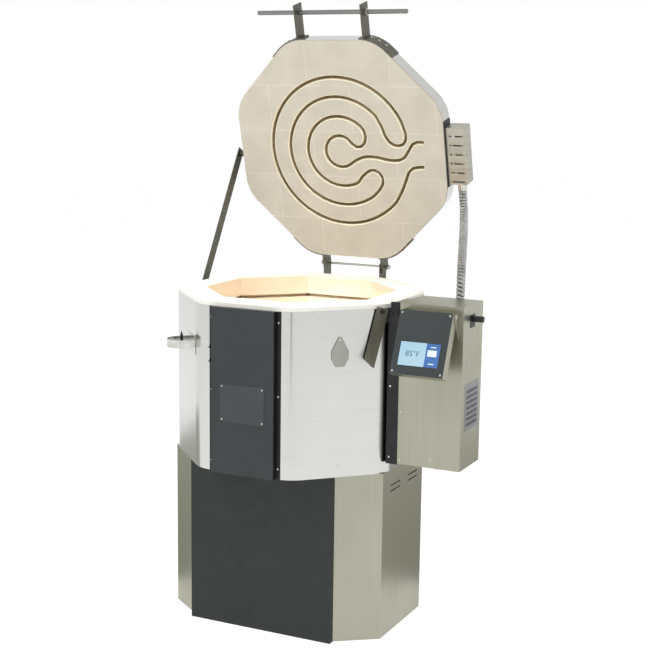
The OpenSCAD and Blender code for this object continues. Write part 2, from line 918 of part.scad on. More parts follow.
// Shoulder bolt and spacer of the prop, and the bolts that hold the bracket to the channel
module prop_bolt() {
  shoulder = bracket_sheet + prop_spacer + prop_sheet + 2 * seat_gap;
  color(BLACK) {
    on_face(RIGHT_FRONT, prop_s, prop_pivot_z, bracket_out) {
      cylinder(d = prop_bolt_d, h = shoulder);
      translate([0, 0, bracket_sheet])
        cylinder(d = 18, h = prop_spacer);
      translate([0, 0, shoulder - eps])
        cylinder(d = 15, h = 4, $fn = 6);
    }
    for (x = [12, box_standoff - 6])
      translate([channel_x0 + x, box_y0 - seat_gap - bracket_sheet, jacket_top - 14])
        rotate([90, 0, 0]) cylinder(d = 10, h = 4, $fn = 6);
  }
}

// HINGE

body_plate_w = 62;
body_plate_drop = 70;
body_foot_w = 34;
hinge_side_gap = 0.4;

// Two plates that stand up from the jacket's back and carry the rod. Above the jacket they are
// cut back, so that the lid's straps swing past them.
module hinge_brackets() {
  foot_z = jacket_top - body_plate_drop;
  y0 = body_a + seat_gap;
  cut = hinge_y - 33 - y0;
  plate_x = hinge_plate_x - strap_sheet - hinge_side_gap;
  color(OLIVE)
    difference() {
      for (side = [0, 1])
        mirror([side, 0, 0])
          translate([plate_x - strap_sheet / 2, y0, foot_z]) {
            cube([strap_sheet, body_plate_w, body_plate_drop]);
            translate([0, cut, 0])
              cube([strap_sheet, body_plate_w - cut, hinge_z + 14 - foot_z]);
            translate([eps - body_foot_w, 0, 0])
              cube([body_foot_w, strap_sheet, body_plate_drop - 6]);
          }
      translate([0, hinge_y, hinge_z])
        rotate([0, 90, 0])
          cylinder(d = hinge_rod_d + 2 * pin_fit, h = 400, center = true);
    }
}

// Rod with a retaining collar at each end
module hinge_rod() {
  color(CHROME)
    translate([0, hinge_y, hinge_z])
      rotate([0, 90, 0]) {
        cylinder(d = hinge_rod_d, h = hinge_rod_length, center = true);
        for (side = [-1, 1])
          translate([0, 0, side * (hinge_rod_length / 2 - 3)])
            cylinder(d = hinge_rod_d + 6, h = 5, center = true);
      }
}

strap_radius = lid_radius + strap_out - lid_a;

// Strap round corner k of the lid, with a straight tail on the side face
module corner_strap(k, tail) {
  out = strap_out + strap_sheet;
  edge = half_flat(lid_a, lid_radius) - tail;
  inner = corner_points(strap_out, strap_radius, k);
  outer = corner_points(out, strap_radius + strap_sheet, k);
  tails = k == 1
    ? [on_right_back(out, edge), on_right_back(strap_out, edge)]
    : [on_right_front(out, -edge), on_right_front(strap_out, -edge)];
  ring = k == 1
    ? concat([tails[0]], outer, backwards(inner), [tails[1]])
    : concat(outer, [tails[0], tails[1]], backwards(inner));
  translate([0, lid_center_y, strap_z])
    linear_extrude(strap_w) polygon(ring);
}

// Back straps: round the lid's back corners, with a plate out to the hinge rod
module lid_hinge_straps() {
  out = strap_out + strap_sheet;
  plate = hinge_back - out + body_a + 16;
  color(OLIVE)
    difference() {
      for (side = [0, 1])
        mirror([side, 0, 0])
          in_lid() {
            corner_strap(1, strap_tail);
            translate([hinge_plate_x - strap_sheet / 2, lid_center_y + out - 2, strap_z])
              cube([strap_sheet, plate + 2, strap_w]);
          }
      in_lid()
        rotate([0, 90, 0])
          cylinder(d = hinge_rod_d + 2 * pin_fit, h = 400, center = true);
      lid_screw_places() screw_hole();
    }
}

// LID

// Centre line of the element groove, x to the right, y away from the hinge
r1 = ring_first;
r2 = ring_first + ring_pitch;
r3 = ring_first + 2 * ring_pitch;
r4 = ring_first + 3 * ring_pitch;
groove_path = concat(
  [[308, 40], [286, 41], [266, 32], [250, 8], [234, -14], [214, -24], [190, -26], [164, -23]],
  [[137, -17], [109, -15], [82, -18], [54, -30]],
  arc(r1, -58, -302, 14),
  [[46, 28], [62, 17], [80, 20], [93, 34], [98, 56], [93, 76]],
  arc(r2, 48, 296, 24),
  [[70, -90], [88, -73], [105, -64], [122, -63], [138, -72], [148, -89], [147, -108], [134, -130]],
  arc(r3, -56, -318, 32),
  [[160, 91], [171, 58], [183, 39], [198, 29], [215, 26], [232, 31], [243, 46], [245, 68]],
  arc(r4, 25, 318, 42),
  [[216, -132], [234, -92], [245, -66], [262, -51], [284, -46], [304, -45]]
);

// Unit normal of the path at point i
function path_normal(path, i) = let (
  a = path[max(i - 1, 0)],
  b = path[min(i + 1, len(path) - 1)],
  d = b - a
) [-d[1], d[0]] / norm(d);

// Outline of a band of the given width along the path
function band(path, width) = let (n = len(path) - 1) concat(
  [for (i = [0:n]) path[i] + path_normal(path, i) * width / 2],
  [for (i = [n:-1:0]) path[i] - path_normal(path, i) * width / 2]
);

// Puts a drawing with y away from the hinge on the lid's inner face, children rise into the lid
module on_lid_face() {
  in_lid()
    translate([0, lid_center_y, lid_face_z])
      mirror([0, 1, 0])
        children();
}

module lid_brick() {
  color(LID_BRICK)
    difference() {
      in_lid()
        translate([0, lid_center_y, lid_face_z])
          octagon_slab(lid_a - seat_gap, lid_radius - seat_gap, lid_brick_height);
      on_lid_face()
        translate([0, 0, -1])
          linear_extrude(lid_groove_depth + 1)
            polygon(band(groove_path, lid_groove_w));
      on_lid_face()
        for (end = [groove_path[0], groove_path[len(groove_path) - 1]])
          translate([end[0], end[1], lid_groove_depth / 2])
            rotate([0, 90, 0])
              cylinder(d = lead_d + 1, h = 120);
    }
}

module lid_element() {
  last = groove_path[len(groove_path) - 1];
  color(ELEMENT)
    on_lid_face() {
      translate([0, 0, (lid_groove_depth - element_size) / 2])
        linear_extrude(element_size)
          polygon(band(groove_path, element_size));
      for (end = [groove_path[0], last])
        translate([end[0] - 1, end[1], lid_groove_depth / 2])
          rotate([0, 90, 0])
            cylinder(d = lead_wire_d, h = lid_a + 4 - end[0]);
    }
}

module lid_band() {
  color(STEEL)
    difference() {
      in_lid()
        translate([0, lid_center_y, band_z])
          octagon_shell(band_out, band_sheet, lid_radius + band_sheet, lid_band_height);
      on_lid_face()
        for (end = [groove_path[0], groove_path[len(groove_path) - 1]])
          translate([lid_a - through, end[1], lid_groove_depth / 2])
            rotate([0, 90, 0])
              cylinder(d = lead_d + 2, h = 4 * through);
      lid_screw_places() screw_hole();
    }
}

// Worm-drive clamp that draws the band together, on the left-hand back face
module lid_band_clamp() {
  color(BLACK)
    in_lid()
      translate([0, lid_center_y, strap_z + strap_w / 2])
        rotate(45 * LEFT_BACK)
          translate([strap_out, 62, 0]) {
            translate([0, -16, -7]) cube([3, 32, 14]);
            translate([3 - eps, -12, -7]) cube([9, 12, 14]);
            translate([8, -14, 0])
              rotate([-90, 0, 0])
                cylinder(d = 7, h = 34);
          }
}

// Arms: round the lid's front corners, then straight out to the handle bar
module handle_arms() {
  out = strap_out + strap_sheet;
  arm = handle_reach + 28;
  color(OLIVE)
    difference() {
      for (side = [0, 1])
        mirror([side, 0, 0])
          in_lid() {
            corner_strap(6, strap_tail);
            translate([handle_arm_x - strap_sheet / 2, lid_center_y - out - arm + 3, strap_z])
              cube([strap_sheet, arm, strap_w]);
          }
      in_lid()
        translate([0, handle_y, handle_z])
          rotate([0, 90, 0])
            cylinder(d = handle_d + 2 * pin_fit, h = 600, center = true);
      lid_screw_places() screw_hole();
    }
}

// Round bar with a set collar on the outer side of each arm
module handle_bar() {
  color([0.58, 0.58, 0.57])
    in_lid()
      translate([0, handle_y, handle_z])
        rotate([0, 90, 0]) {
          cylinder(d = handle_d, h = handle_length, center = true);
          for (side = [-1, 1])
            translate([0, 0, side * (handle_arm_x + strap_sheet / 2 + seat_gap + 4)])
              cylinder(d = handle_d + 8, h = 8, center = true);
        }
}

// Screws of the arms and straps, spread round each bent corner
module lid_screw_places() {
  for (side = [0, 1], place = [[6, 15], [6, 27], [6, 39], [1, 6], [1, 18], [1, 30]])
    mirror([side, 0, 0])
      in_lid()
        translate([0, lid_center_y, strap_z + strap_w / 2])
          translate(corner_center(lid_a, lid_radius, place[0]))
            rotate(45 * place[0] + place[1])
              translate([strap_radius + strap_sheet, 0, 0])
                rotate([0, 90, 0])
                  children();
}

module lid_screws() {
  color(CHROME) {
    lid_screw_places() screw(9, strap_sheet);
    in_lid()
      junction_screw_places() screw(6, 2);
  }
}

// JUNCTION BOX ON THE LID

module junction_screw_places() {
  for (i = [0, 2, 4])
    translate([junction_slot_x + 16, junction_slot_ys[i], junction_z0])
      rotate([180, 0, 0])
        children();
}

// Dark plate that holds the junction box off the hot band
module junction_mount() {
  color(BLACK)
    in_lid()
      difference() {
        translate([band_out + seat_gap, junction_y0 - 20, lid_face_z + 1])
          cube([junction_plate, junction_l + 28, strap_w - 2]);
        for (end = [groove_path[0], groove_path[len(groove_path) - 1]])
          translate([band_out, lid_center_y - end[1], lid_face_z + lid_groove_depth / 2])
            rotate([0, 90, 0])
              cylinder(d = 8, h = 4 * through);
      }
}

// Vented box with slots in its face, an open bottom end fitting and a lead opening to the lid
module junction_box() {
  wall = box_sheet;
  color(SATIN)
    in_lid()
      difference() {
        translate([junction_x0, junction_y0, junction_z0])
          cube([junction_w, junction_l, junction_d]);
        translate([junction_x0 + wall, junction_y0 + wall, junction_z0 + wall])
          cube([junction_w - 2 * wall, junction_l - 2 * wall, junction_d - 2 * wall]);
        for (y = junction_slot_ys)
          translate([junction_slot_x, y - junction_slot[1] / 2, junction_z0 - 1])
            cube([junction_slot[0], junction_slot[1], wall + 2]);
        translate([junction_x0 - 1, lid_center_y - 60, junction_z0 + wall])
          cube([wall + 2, 120, junction_d - 2 * wall - 4]);
        translate([conduit_lid[0], conduit_lid[1] - through, conduit_lid[2]])
          rotate([-90, 0, 0])
            cylinder(d = conduit_bore + 4, h = 2 * through);
        junction_screw_places() screw_hole(3);
      }
}

// Ceramic terminal strip inside the junction box, on its far wall
module junction_terminals() {
  color([0.93, 0.92, 0.88])
    in_lid()
      translate([junction_x0 + junction_w - box_sheet - 18, lid_center_y - 40, junction_z0 + 9]) {
        cube([18, 80, 20]);
        for (y = [16, 40, 64])
          translate([-4, y, 10])
            rotate([0, 90, 0])
              cylinder(d = 6, h = 4 + eps);
      }
}

// CONDUIT

// Straight connector that the conduit screws into under the junction box
module conduit_connector() {
  color(CHROME)
    in_lid()
      translate([conduit_lid[0], conduit_lid[1], conduit_lid[2]])
        rotate([-90, 0, 0])
          difference() {
            union() {
              cylinder(d = conduit_d + 8, h = 7, $fn = 6);
              cylinder(d = conduit_d + 4, h = connector_l - 1);
              translate([0, 0, -box_sheet - 2])
                cylinder(d = conduit_bore + 4 - 2 * seat_gap, h = 8);
            }
            translate([0, 0, -10])
              cylinder(d = conduit_bore - 1, h = connector_l + 20);
          }
}

elbow_x = box_x1 - 88;
elbow_y = box_y1 + 32;
elbow_z = box_z1 - 48;

// Elbow behind the control box, from the conduit's lower end into the back panel
module conduit_elbow() {
  color(CHROME)
    difference() {
      union() {
        translate([elbow_x, elbow_y, elbow_z])
          cylinder(d = conduit_d + 4, h = connector_l);
        translate([elbow_x, elbow_y, elbow_z])
          sphere(d = conduit_d + 4);
        translate([elbow_x, elbow_y, elbow_z])
          rotate([90, 0, 0])
            cylinder(d = conduit_d + 4, h = elbow_y - box_y1);
        translate([elbow_x, box_y1 + 7, elbow_z])
          rotate([90, 0, 0])
            cylinder(d = conduit_d + 10, h = 7, $fn = 6);
        translate([elbow_x, box_y1 + eps, elbow_z])
          rotate([90, 0, 0])
            cylinder(d = conduit_bore + 4 - 2 * seat_gap, h = box_sheet + 3);
      }
      translate([elbow_x, elbow_y, elbow_z])
        cylinder(d = conduit_bore - 1, h = 60);
      translate([elbow_x, elbow_y, elbow_z])
        rotate([90, 0, 0])
          cylinder(d = conduit_bore - 1, h = 60);
    }
}

// Ends of the conduit's centre line, just clear of the two connectors
conduit_drop = [0, cos(lid_open), -sin(lid_open)];
conduit_top_lid = [conduit_lid[0], conduit_lid[1] + connector_l, conduit_lid[2]];
conduit_top = [
  conduit_top_lid[0],
  hinge_y + conduit_top_lid[1] * cos(lid_open) + conduit_top_lid[2] * sin(lid_open),
  hinge_z - conduit_top_lid[1] * sin(lid_open) + conduit_top_lid[2] * cos(lid_open)
];
conduit_bottom = [elbow_x, elbow_y, elbow_z + connector_l + seat_gap];
conduit_a = conduit_top + conduit_drop * conduit_d;
conduit_b = conduit_bottom + [0, 0, conduit_d];
conduit_ctrl_a = conduit_a + conduit_drop * 110;
conduit_ctrl_b = conduit_b + [0, 0, 150];

function bezier(t) =
  pow(1 - t, 3) * conduit_a + 3 * pow(1 - t, 2) * t * conduit_ctrl_a
  + 3 * (1 - t) * t * t * conduit_ctrl_b + t * t * t * conduit_b;

rib_rings = 66;
end_rings = 4;
conduit_line = concat(
  [for (i = [0:end_rings - 1]) conduit_top + conduit_drop * conduit_d * i / end_rings],
  [for (i = [0:rib_rings]) bezier(i / rib_rings)],
  [for (i = [1:end_rings]) conduit_b + [0, 0, -1] * conduit_d * i / end_rings]
);

function unit(v) = v / norm(v);
function tangent_at(i) = let (n = len(conduit_line) - 1)
  unit(conduit_line[min(i + 1, n)] - conduit_line[max(i - 1, 0)]);

// Ring of 8 points about the centre line; the ribs' crests are odd rings
function ring(i, radius) = let (
  t = tangent_at(i),
  side = unit(cross(t, [0, 1, 0.2])),
  up = cross(side, t)
) [for (j = [0:7]) conduit_line[i] + radius * (cos(45 * j) * side + sin(45 * j) * up)];

function outer_radius(i) = let (n = len(conduit_line) - 1)
  i % 2 == 1 && i < n ? conduit_d / 2 : conduit_d / 2 - 1.8;

module conduit() {
  n = len(conduit_line);
  outer = [for (i = [0:n - 1]) each ring(i, outer_radius(i))];
  inner = [for (i = [0:n - 1]) each ring(i, conduit_bore / 2)];
  m = 8 * n;
  faces = concat(
    [for (i = [0:n - 2], j = [0:7]) let (a = 8 * i + j, b = 8 * i + (j + 1) % 8) each
      [[a, a + 8, b + 8], [a, b + 8, b]]],
    [for (i = [0:n - 2], j = [0:7]) let (a = m + 8 * i + j, b = m + 8 * i + (j + 1) % 8) each
      [[a, b + 8, a + 8], [a, b, b + 8]]],
    [for (j = [0:7]) let (a = j, b = (j + 1) % 8) each [[a, b, m + b], [a, m + b, m + a]]],
    [for (j = [0:7]) let (a = m - 8 + j, b = m - 8 + (j + 1) % 8) each
      [[a, m + b, b], [a, m + a, m + b]]]
  );
  color([0.74, 0.74, 0.72]) polyhedron(concat(outer, inner), faces);
}

// LID SUPPORT BAR

bar_pin_d = 8;

// Lug on the lid's band with the pin that the bar hangs on
module support_bar_lug() {
  x0 = band_out + seat_gap;
  reach = bar_standoff - seat_gap - 0.4;
  color(OLIVE)
    mirror([1, 0, 0])
      in_lid()
        translate([x0, bar_pivot[0], bar_pivot[1]]) {
          translate([0, -12, -16]) cube([3, 44, 32]);
          rotate([0, 90, 0]) cylinder(d = 20, h = reach);
          rotate([0, 90, 0]) cylinder(d = bar_pin_d, h = reach + bar_sheet + 2);
          translate([reach + bar_sheet + 1, 0, 0])
            rotate([0, 90, 0])
              cylinder(d = 16, h = 4);
        }
}

// Flat strap that the lid hangs on, leaning back from the guide on the jacket
module support_bar() {
  color(OLIVE)
    translate([bar_x, bar_pivot_open[0], bar_pivot_open[1]])
      rotate([-bar_lean, 0, 0])
        difference() {
          translate([-bar_sheet / 2, -bar_width / 2, -bar_length])
            cube([bar_sheet, bar_width, bar_length + bar_width / 2]);
          rotate([0, 90, 0])
            cylinder(d = bar_pin_d + 2 * pin_fit, h = 30, center = true);
        }
}

// Staple on the jacket's left side that the bar runs through, with room on both sides
module support_guide() {
  leg_x = -(body_a + seat_gap);
  out = -leg_x;
  reach = -bar_x + bar_sheet / 2 + 4 - out;
  y0 = guide_y - 1.4 * bar_width;
  y1 = guide_y + 0.95 * bar_width;
  color(OLIVE)
    translate([leg_x - reach, 0, guide_z - 10]) {
      translate([0, y0, 0]) cube([3, y1 - y0, 20]);
      for (y = [y0, y1 - 3])
        translate([0, y, 0]) cube([reach, 3, 20]);
      for (y = [y0 - 20, y1 - eps])
        translate([reach - 3, y, 0]) cube([3, 20 + eps, 20]);
    }
}

// CONTROL BOX

module box_screw_places() {
  for (z = [13, 165, 318])
    translate([box_x0 + 7, box_y0, box_bottom + z])
      rotate([90, 0, 0]) children();
  translate([box_x0 + box_w * 0.53, box_y0, box_bottom + 29])
    rotate([90, 0, 0]) children();
  for (z = [322, 403])
    translate([box_x1, box_y0 + 50, box_bottom + z])
      rotate([0, 90, 0]) children();
}

data_plate_size = [0.8, 117, 148];
data_plate_at = [box_x1, box_y0 + 31, box_bottom + 118];
switch_y = box_y0 + 78;
switch_z = box_z1 - 44;

// Rivets of the data plate
module data_plate_places() {
  for (y = [6, data_plate_size[1] - 6], z = [6, data_plate_size[2] - 6])
    translate(data_plate_at + [data_plate_size[0], y, z])
      rotate([0, 90, 0]) children();
}

module control_box() {
  t = box_sheet;
  color(SATIN)
    difference() {
      translate([box_x0, box_y0, box_bottom])
        cube([box_w, box_d - t, box_h]);
      translate([box_x0 + t, box_y0 + t, box_bottom + t])
        cube([box_w - 2 * t, box_d, box_h - 2 * t]);
      box_screw_places() screw_hole(3);
      translate([box_x1, switch_y, switch_z])
        rotate([0, 90, 0])
          cylinder(d = 14, h = 2 * through, center = true);
      translate([box_x0 + box_w / 2, box_y0 + box_d / 2, box_bottom])
        cylinder(d = gland_bore + 8, h = 2 * through, center = true);
      translate([box_x0, thermocouple_y, thermocouple_z])
        rotate([0, 90, 0])
          cylinder(d = 12, h = 2 * through, center = true);
    }
}

module control_box_back() {
  color(SATIN)
    difference() {
      translate([box_x0, box_y1 - box_sheet, box_bottom])
        cube([box_w, box_sheet, box_h]);
      translate([elbow_x, box_y1, elbow_z])
        rotate([90, 0, 0])
          cylinder(d = conduit_bore + 4, h = 2 * through, center = true);
    }
}

module control_box_screws() {
  color(CHROME) {
    box_screw_places() screw(6, 2);
    data_plate_places() screw(4, 0.5);
    for (z = channel_screw_zs)
      translate([channel_x0 + 11, box_y0, z])
        rotate([90, 0, 0]) screw(7, 3);
  }
}

relay_size = [44, 40, 64];
relay_pitch = 54;
relay_plate_edge = 18;
relay_plate_h = 190;
relay_plate_z = box_bottom + box_h - 97 - relay_plate_h;
transformer_size = [60, 38, 50];

// Mounting plate with three relays and a transformer, fixed inside the back panel
module relay_board() {
  y = box_y1 - box_sheet;
  x = box_x0 + relay_plate_edge;
  color([0.20, 0.22, 0.24]) {
    translate([x, y - 2, relay_plate_z])
      cube([box_w - 2 * relay_plate_edge, 2, relay_plate_h]);
    for (i = [0:2])
      translate([x + 10 + i * relay_pitch, y - 2 - relay_size[1], relay_plate_z + 30])
        cube(relay_size + [0, eps, 0]);
    translate([x + 22, y - 2 - transformer_size[1], relay_plate_z + 125])
      cube(transformer_size + [0, eps, 0]);
  }
}

module power_terminals() {
  y = box_y1 - box_sheet;
  color([0.12, 0.12, 0.12])
    translate([box_x0 + 48, y - 34, box_bottom + 70]) {
      cube([110, 34, 50]);
      for (i = [0:2])
        translate([20 + 35 * i, -5, 25])
          rotate([-90, 0, 0])
            cylinder(d = 12, h = 5 + eps);
    }
}

// Strain relief in the underside of the control box
module cable_gland() {
  color(BLACK)
    translate([box_x0 + box_w / 2, box_y0 + box_d / 2, box_bottom])
      difference() {
        union() {
          translate([0, 0, -22]) cylinder(d = gland_bore + 12, h = 16);
          translate([0, 0, -6.2]) cylinder(d = gland_bore + 16, h = 6.2, $fn = 6);
          translate([0, 0, -eps]) cylinder(d = gland_bore + 8 - 2 * seat_gap, h = 9);
        }
        translate([0, 0, -30]) cylinder(d = gland_bore, h = 50);
      }
}

module switch_plate() {
  color(BLACK)
    translate([box_x1, switch_y, switch_z])
      difference() {
        translate([0, -19, -26]) cube([1.5, 38, 40]);
        rotate([0, 90, 0]) cylinder(d = 8 + 2 * pin_fit, h = 20, center = true);
      }
}

// Knob and shaft of the power switch, with a flat grip
module switch_knob() {
  color(BLACK)
    translate([box_x1, switch_y, switch_z])
      rotate([0, 90, 0]) {
        translate([0, 0, -8]) cylinder(d = 8, h = 12);
        translate([0, 0, 1.8]) cylinder(d = knob_d, h = 34);
      }
}

module data_plate() {
  color([0.52, 0.52, 0.55])
    difference() {
      translate(data_plate_at) cube(data_plate_size);
      data_plate_places() screw_hole(2);
    }
}

// CONTROLLER

// Face corner of the controller in its own frame
ctl_top = ctl_pivot_below;
ctl_front = -ctl_pivot_behind;

module controller_case() {
  t = 1.5;
  color(SATIN)
    in_controller()
      difference() {
        translate([-ctl_w / 2, ctl_front + 2, ctl_top - ctl_h])
          cube([ctl_w, ctl_t - 2, ctl_h]);
        translate([-ctl_w / 2 + t, ctl_front, ctl_top - ctl_h + t])
          cube([ctl_w - 2 * t, ctl_t - t, ctl_h - 2 * t]);
        rotate([0, 90, 0])
          cylinder(d = ctl_pin_d + 2 * pin_fit, h = ctl_w + 20, center = true);
      }
}

module controller_faceplate() {
  color([0.24, 0.26, 0.28])
    in_controller() {
      translate([-ctl_w / 2, ctl_front, ctl_top - ctl_h])
        cube([ctl_w, 2, ctl_h]);
      for (x = [-1, 1], z = [9, ctl_h - 9])
        translate([x * (ctl_w / 2 - 8), ctl_front + eps, ctl_top - z])
          rotate([90, 0, 0])
            cylinder(d1 = 7, d2 = 4, h = 2);
    }
}

// Touch screen module that stands a little proud of the faceplate
module controller_screen() {
  color([0.72, 0.86, 0.95])
    in_controller()
      translate([-ctl_w / 2 + 18, ctl_front - 0.6, ctl_top - 170])
        cube([128, 0.6, 76]);
}

// Two triangular lugs with pins, on feet against the front of the control box
module controller_bracket() {
  pivot = ctl_pivot;
  back = box_y0 - pivot[1];
  color(SATIN)
    translate(pivot)
      for (side = [-1, 1])
        translate([side * (ctl_w / 2 + 1.4), 0, 0]) {
          rotate([90, 0, 90])
            translate([0, 0, -1])
              linear_extrude(2)
                polygon([[-9, 9], [back, 9], [back, -76], [-9, -9]]);
          translate([side > 0 ? -1 : -11, back - 2, -76])
            cube([12, 2, 85]);
          translate([side > 0 ? -7.5 : -1, 0, 0])
            rotate([0, 90, 0])
              cylinder(d = ctl_pin_d, h = 8.5);
          translate([side > 0 ? 1 - eps : -4 + eps, 0, 0])
            rotate([0, 90, 0])
              cylinder(d = 12, h = 3);
        }
}

stand_left_wrap();
stand_right_wrap();
stand_front_panel();
stand_back_panel();
stand_top_plate();
floor_pan();
floor_brick();
wall_bricks();
fibre_blanket();
side_elements();
jacket_left();
jacket_right();
jacket_seam_strip();
jacket_screws();
front_cover();
cover_screws();
blank_plate();
element_terminals();
peephole_cover();
peephole_rivet();
thermocouple();
side_handle();
side_handle_hook();
channel_front();
channel_rear();
prop_bracket();
lid_prop();
prop_bolt();
hinge_brackets();
hinge_rod();
lid_hinge_straps();
lid_brick();
lid_band();
lid_band_clamp();
lid_element();
handle_arms();
handle_bar();
lid_screws();
junction_box();
junction_mount();
junction_terminals();
conduit();
conduit_connector();
conduit_elbow();
support_bar();
support_bar_lug();
support_guide();
control_box();
control_box_back();
control_box_screws();
relay_board();
power_terminals();
cable_gland();
switch_plate();
switch_knob();
data_plate();
controller_bracket();
controller_case();
controller_faceplate();
controller_screen();
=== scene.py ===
"""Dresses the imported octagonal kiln: finishes for every sheet, brick and fitting, and its finer pieces."""
import json
import logging
import math
from dataclasses import dataclass, field
from enum import Enum
from functools import cached_property

import bmesh
import bpy
import numpy as np
from mathutils import Matrix, Vector


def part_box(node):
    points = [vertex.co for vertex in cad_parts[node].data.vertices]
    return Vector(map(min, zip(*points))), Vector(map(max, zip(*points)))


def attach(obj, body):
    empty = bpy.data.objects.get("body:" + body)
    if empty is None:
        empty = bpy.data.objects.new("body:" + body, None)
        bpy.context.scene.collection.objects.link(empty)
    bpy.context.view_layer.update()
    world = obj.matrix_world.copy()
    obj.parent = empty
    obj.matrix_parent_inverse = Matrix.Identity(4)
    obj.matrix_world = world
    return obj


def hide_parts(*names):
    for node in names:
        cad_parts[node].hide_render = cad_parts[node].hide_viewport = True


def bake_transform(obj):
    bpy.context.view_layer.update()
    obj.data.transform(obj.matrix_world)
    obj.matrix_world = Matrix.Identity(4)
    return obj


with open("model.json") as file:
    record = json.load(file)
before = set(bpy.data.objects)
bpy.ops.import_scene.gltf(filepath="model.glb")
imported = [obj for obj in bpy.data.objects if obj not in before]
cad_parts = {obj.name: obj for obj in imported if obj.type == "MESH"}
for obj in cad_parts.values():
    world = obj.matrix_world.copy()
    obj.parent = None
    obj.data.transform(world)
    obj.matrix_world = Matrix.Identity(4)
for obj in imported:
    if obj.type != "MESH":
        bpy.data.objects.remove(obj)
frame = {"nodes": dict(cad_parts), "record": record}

log = logging.getLogger("kiln")
MM = 0.001
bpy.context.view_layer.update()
HINGE = (0.0, 423.8 * MM, 1113.2 * MM)
LID_ANGLE = math.radians(75.1)
Point = tuple[float, float, float]
Piece = bpy.types.Object
Socket = bpy.types.NodeSocket
Flat = list[tuple[float, float]]


# Finishes


def linear(hex_colour: str) -> tuple[float, float, float, float]:
    """Turns an sRGB hex colour into linear values.

    Args:
        hex_colour: Six hex digits after a number sign.

    Returns:
        Red, green, blue and an alpha of one.
    """
    parts = [int(hex_colour[i:i + 2], 16) / 255 for i in (1, 3, 5)]
    return tuple(c / 12.92 if c <= 0.04045 else ((c + 0.055) / 1.055) ** 2.4 for c in parts) + (1.0,)


class Grain(Enum):
    """Direction in which a rolled or brushed sheet's grain runs."""

    LEVEL = (1.5, 1.5, 420.0)
    UPRIGHT = (420.0, 420.0, 1.5)
    NONE = (60.0, 60.0, 60.0)


class Graph:
    """Node tree of a material or of the world."""

    def __init__(self, owner: bpy.types.ID) -> None:
        """Takes up the owner's node tree."""
        owner.use_nodes = True
        self.owner = owner
        self.tree = owner.node_tree

    @cached_property
    def place(self) -> Socket:
        """Object coordinates in metres."""
        return self.add("TexCoord", out="Object")

    def feed(self, node: bpy.types.Node, inputs: dict | list) -> None:
        """Links or sets a node's inputs.

        Args:
            node: Node to feed.
            inputs: Sockets or values in order, or by name or number; None leaves an input as it is.
        """
        for key, value in (inputs if isinstance(inputs, dict) else dict(enumerate(inputs))).items():
            if isinstance(value, Socket):
                self.tree.links.new(value, node.inputs[key])
            elif value is not None:
                node.inputs[key].default_value = value

    def add(self, kind: str, inputs: dict | list = (), out: str | int = 0, **settings: object) -> Socket:
        """Adds one node with its settings and links; a pattern is laid on object coordinates by default.

        Args:
            kind: Blender's name of the node type, without its first word.
            inputs: Sockets or values for its inputs.
            out: Name or number of the output that is wanted.
            settings: The node's own properties.

        Returns:
            The output, or nothing for a node that has none.
        """
        node = self.tree.nodes.new(f"ShaderNode{kind}")
        for key, value in settings.items():
            setattr(node, key, value)
        if kind in ("TexNoise", "TexVoronoi"):
            inputs = {"Vector": self.place, **inputs}
        self.feed(node, inputs)
        return node.outputs[out] if node.outputs else None

    def finish(self, inputs: dict) -> bpy.types.Material:
        """Feeds the material's shader and gives the material."""
        self.feed(self.tree.nodes["Principled BSDF"], inputs)
        return self.owner


@dataclass(frozen=True)
class SheetSteel:
    """Stainless or plated sheet: rolled grain, faint smudges and slow waves in its reflections."""

    name: str
    colour: str
    dark: str
    roughness: float = 0.3
    grain: Grain = Grain.LEVEL
    grain_depth: float = 0.01 * MM
    wave: float = 0.0
    scratches: float = 0.0

    def build(self) -> bpy.types.Material:
        """Makes the sheet's material."""
        g = Graph(bpy.data.materials.new(self.name))
        rolled = g.add("Mapping", {"Vector": g.place, "Scale": self.grain.value})
        streak = g.add("TexNoise", {"Vector": rolled, "Scale": 1.0, "Detail": 4.0})
        smudge = g.add("TexNoise", {"Scale": 5.0, "Detail": 5.0})
        tone = g.add("Mix", {0: 0.45, 2: streak, 3: smudge})
        share = g.add("MapRange", [tone, 0.36, 0.64])
        colour = g.add("Mix", {0: share, 6: linear(self.dark), 7: linear(self.colour)}, 2, data_type="RGBA")
        rough = g.add("MapRange", [tone, 0.3, 0.7, self.roughness * 1.18, self.roughness * 0.85])
        if self.scratches:
            across = g.add("Mapping", {"Vector": g.place, "Scale": (900, 40, 700), "Rotation": (0.3, 0.2, 0.6)})
            marks = g.add("TexNoise", {"Vector": across, "Scale": 1.0, "Detail": 2.0})
            marks = g.add("MapRange", [marks, 0.68, 0.72, 0.0, self.scratches])
            rough = g.add("Math", [rough, marks], operation="ADD")
        slow = None
        if self.wave:
            swell = g.add("TexNoise", {"Scale": 2.6, "Detail": 1.0})
            slow = g.add("Bump", {"Height": swell, "Strength": 1.0, "Distance": self.wave})
        normal = g.add("Bump", {"Height": streak, "Strength": 0.35, "Distance": self.grain_depth, "Normal": slow})
        return g.finish({"Metallic": 1.0, "Base Color": colour, "Roughness": rough, "Normal": normal})


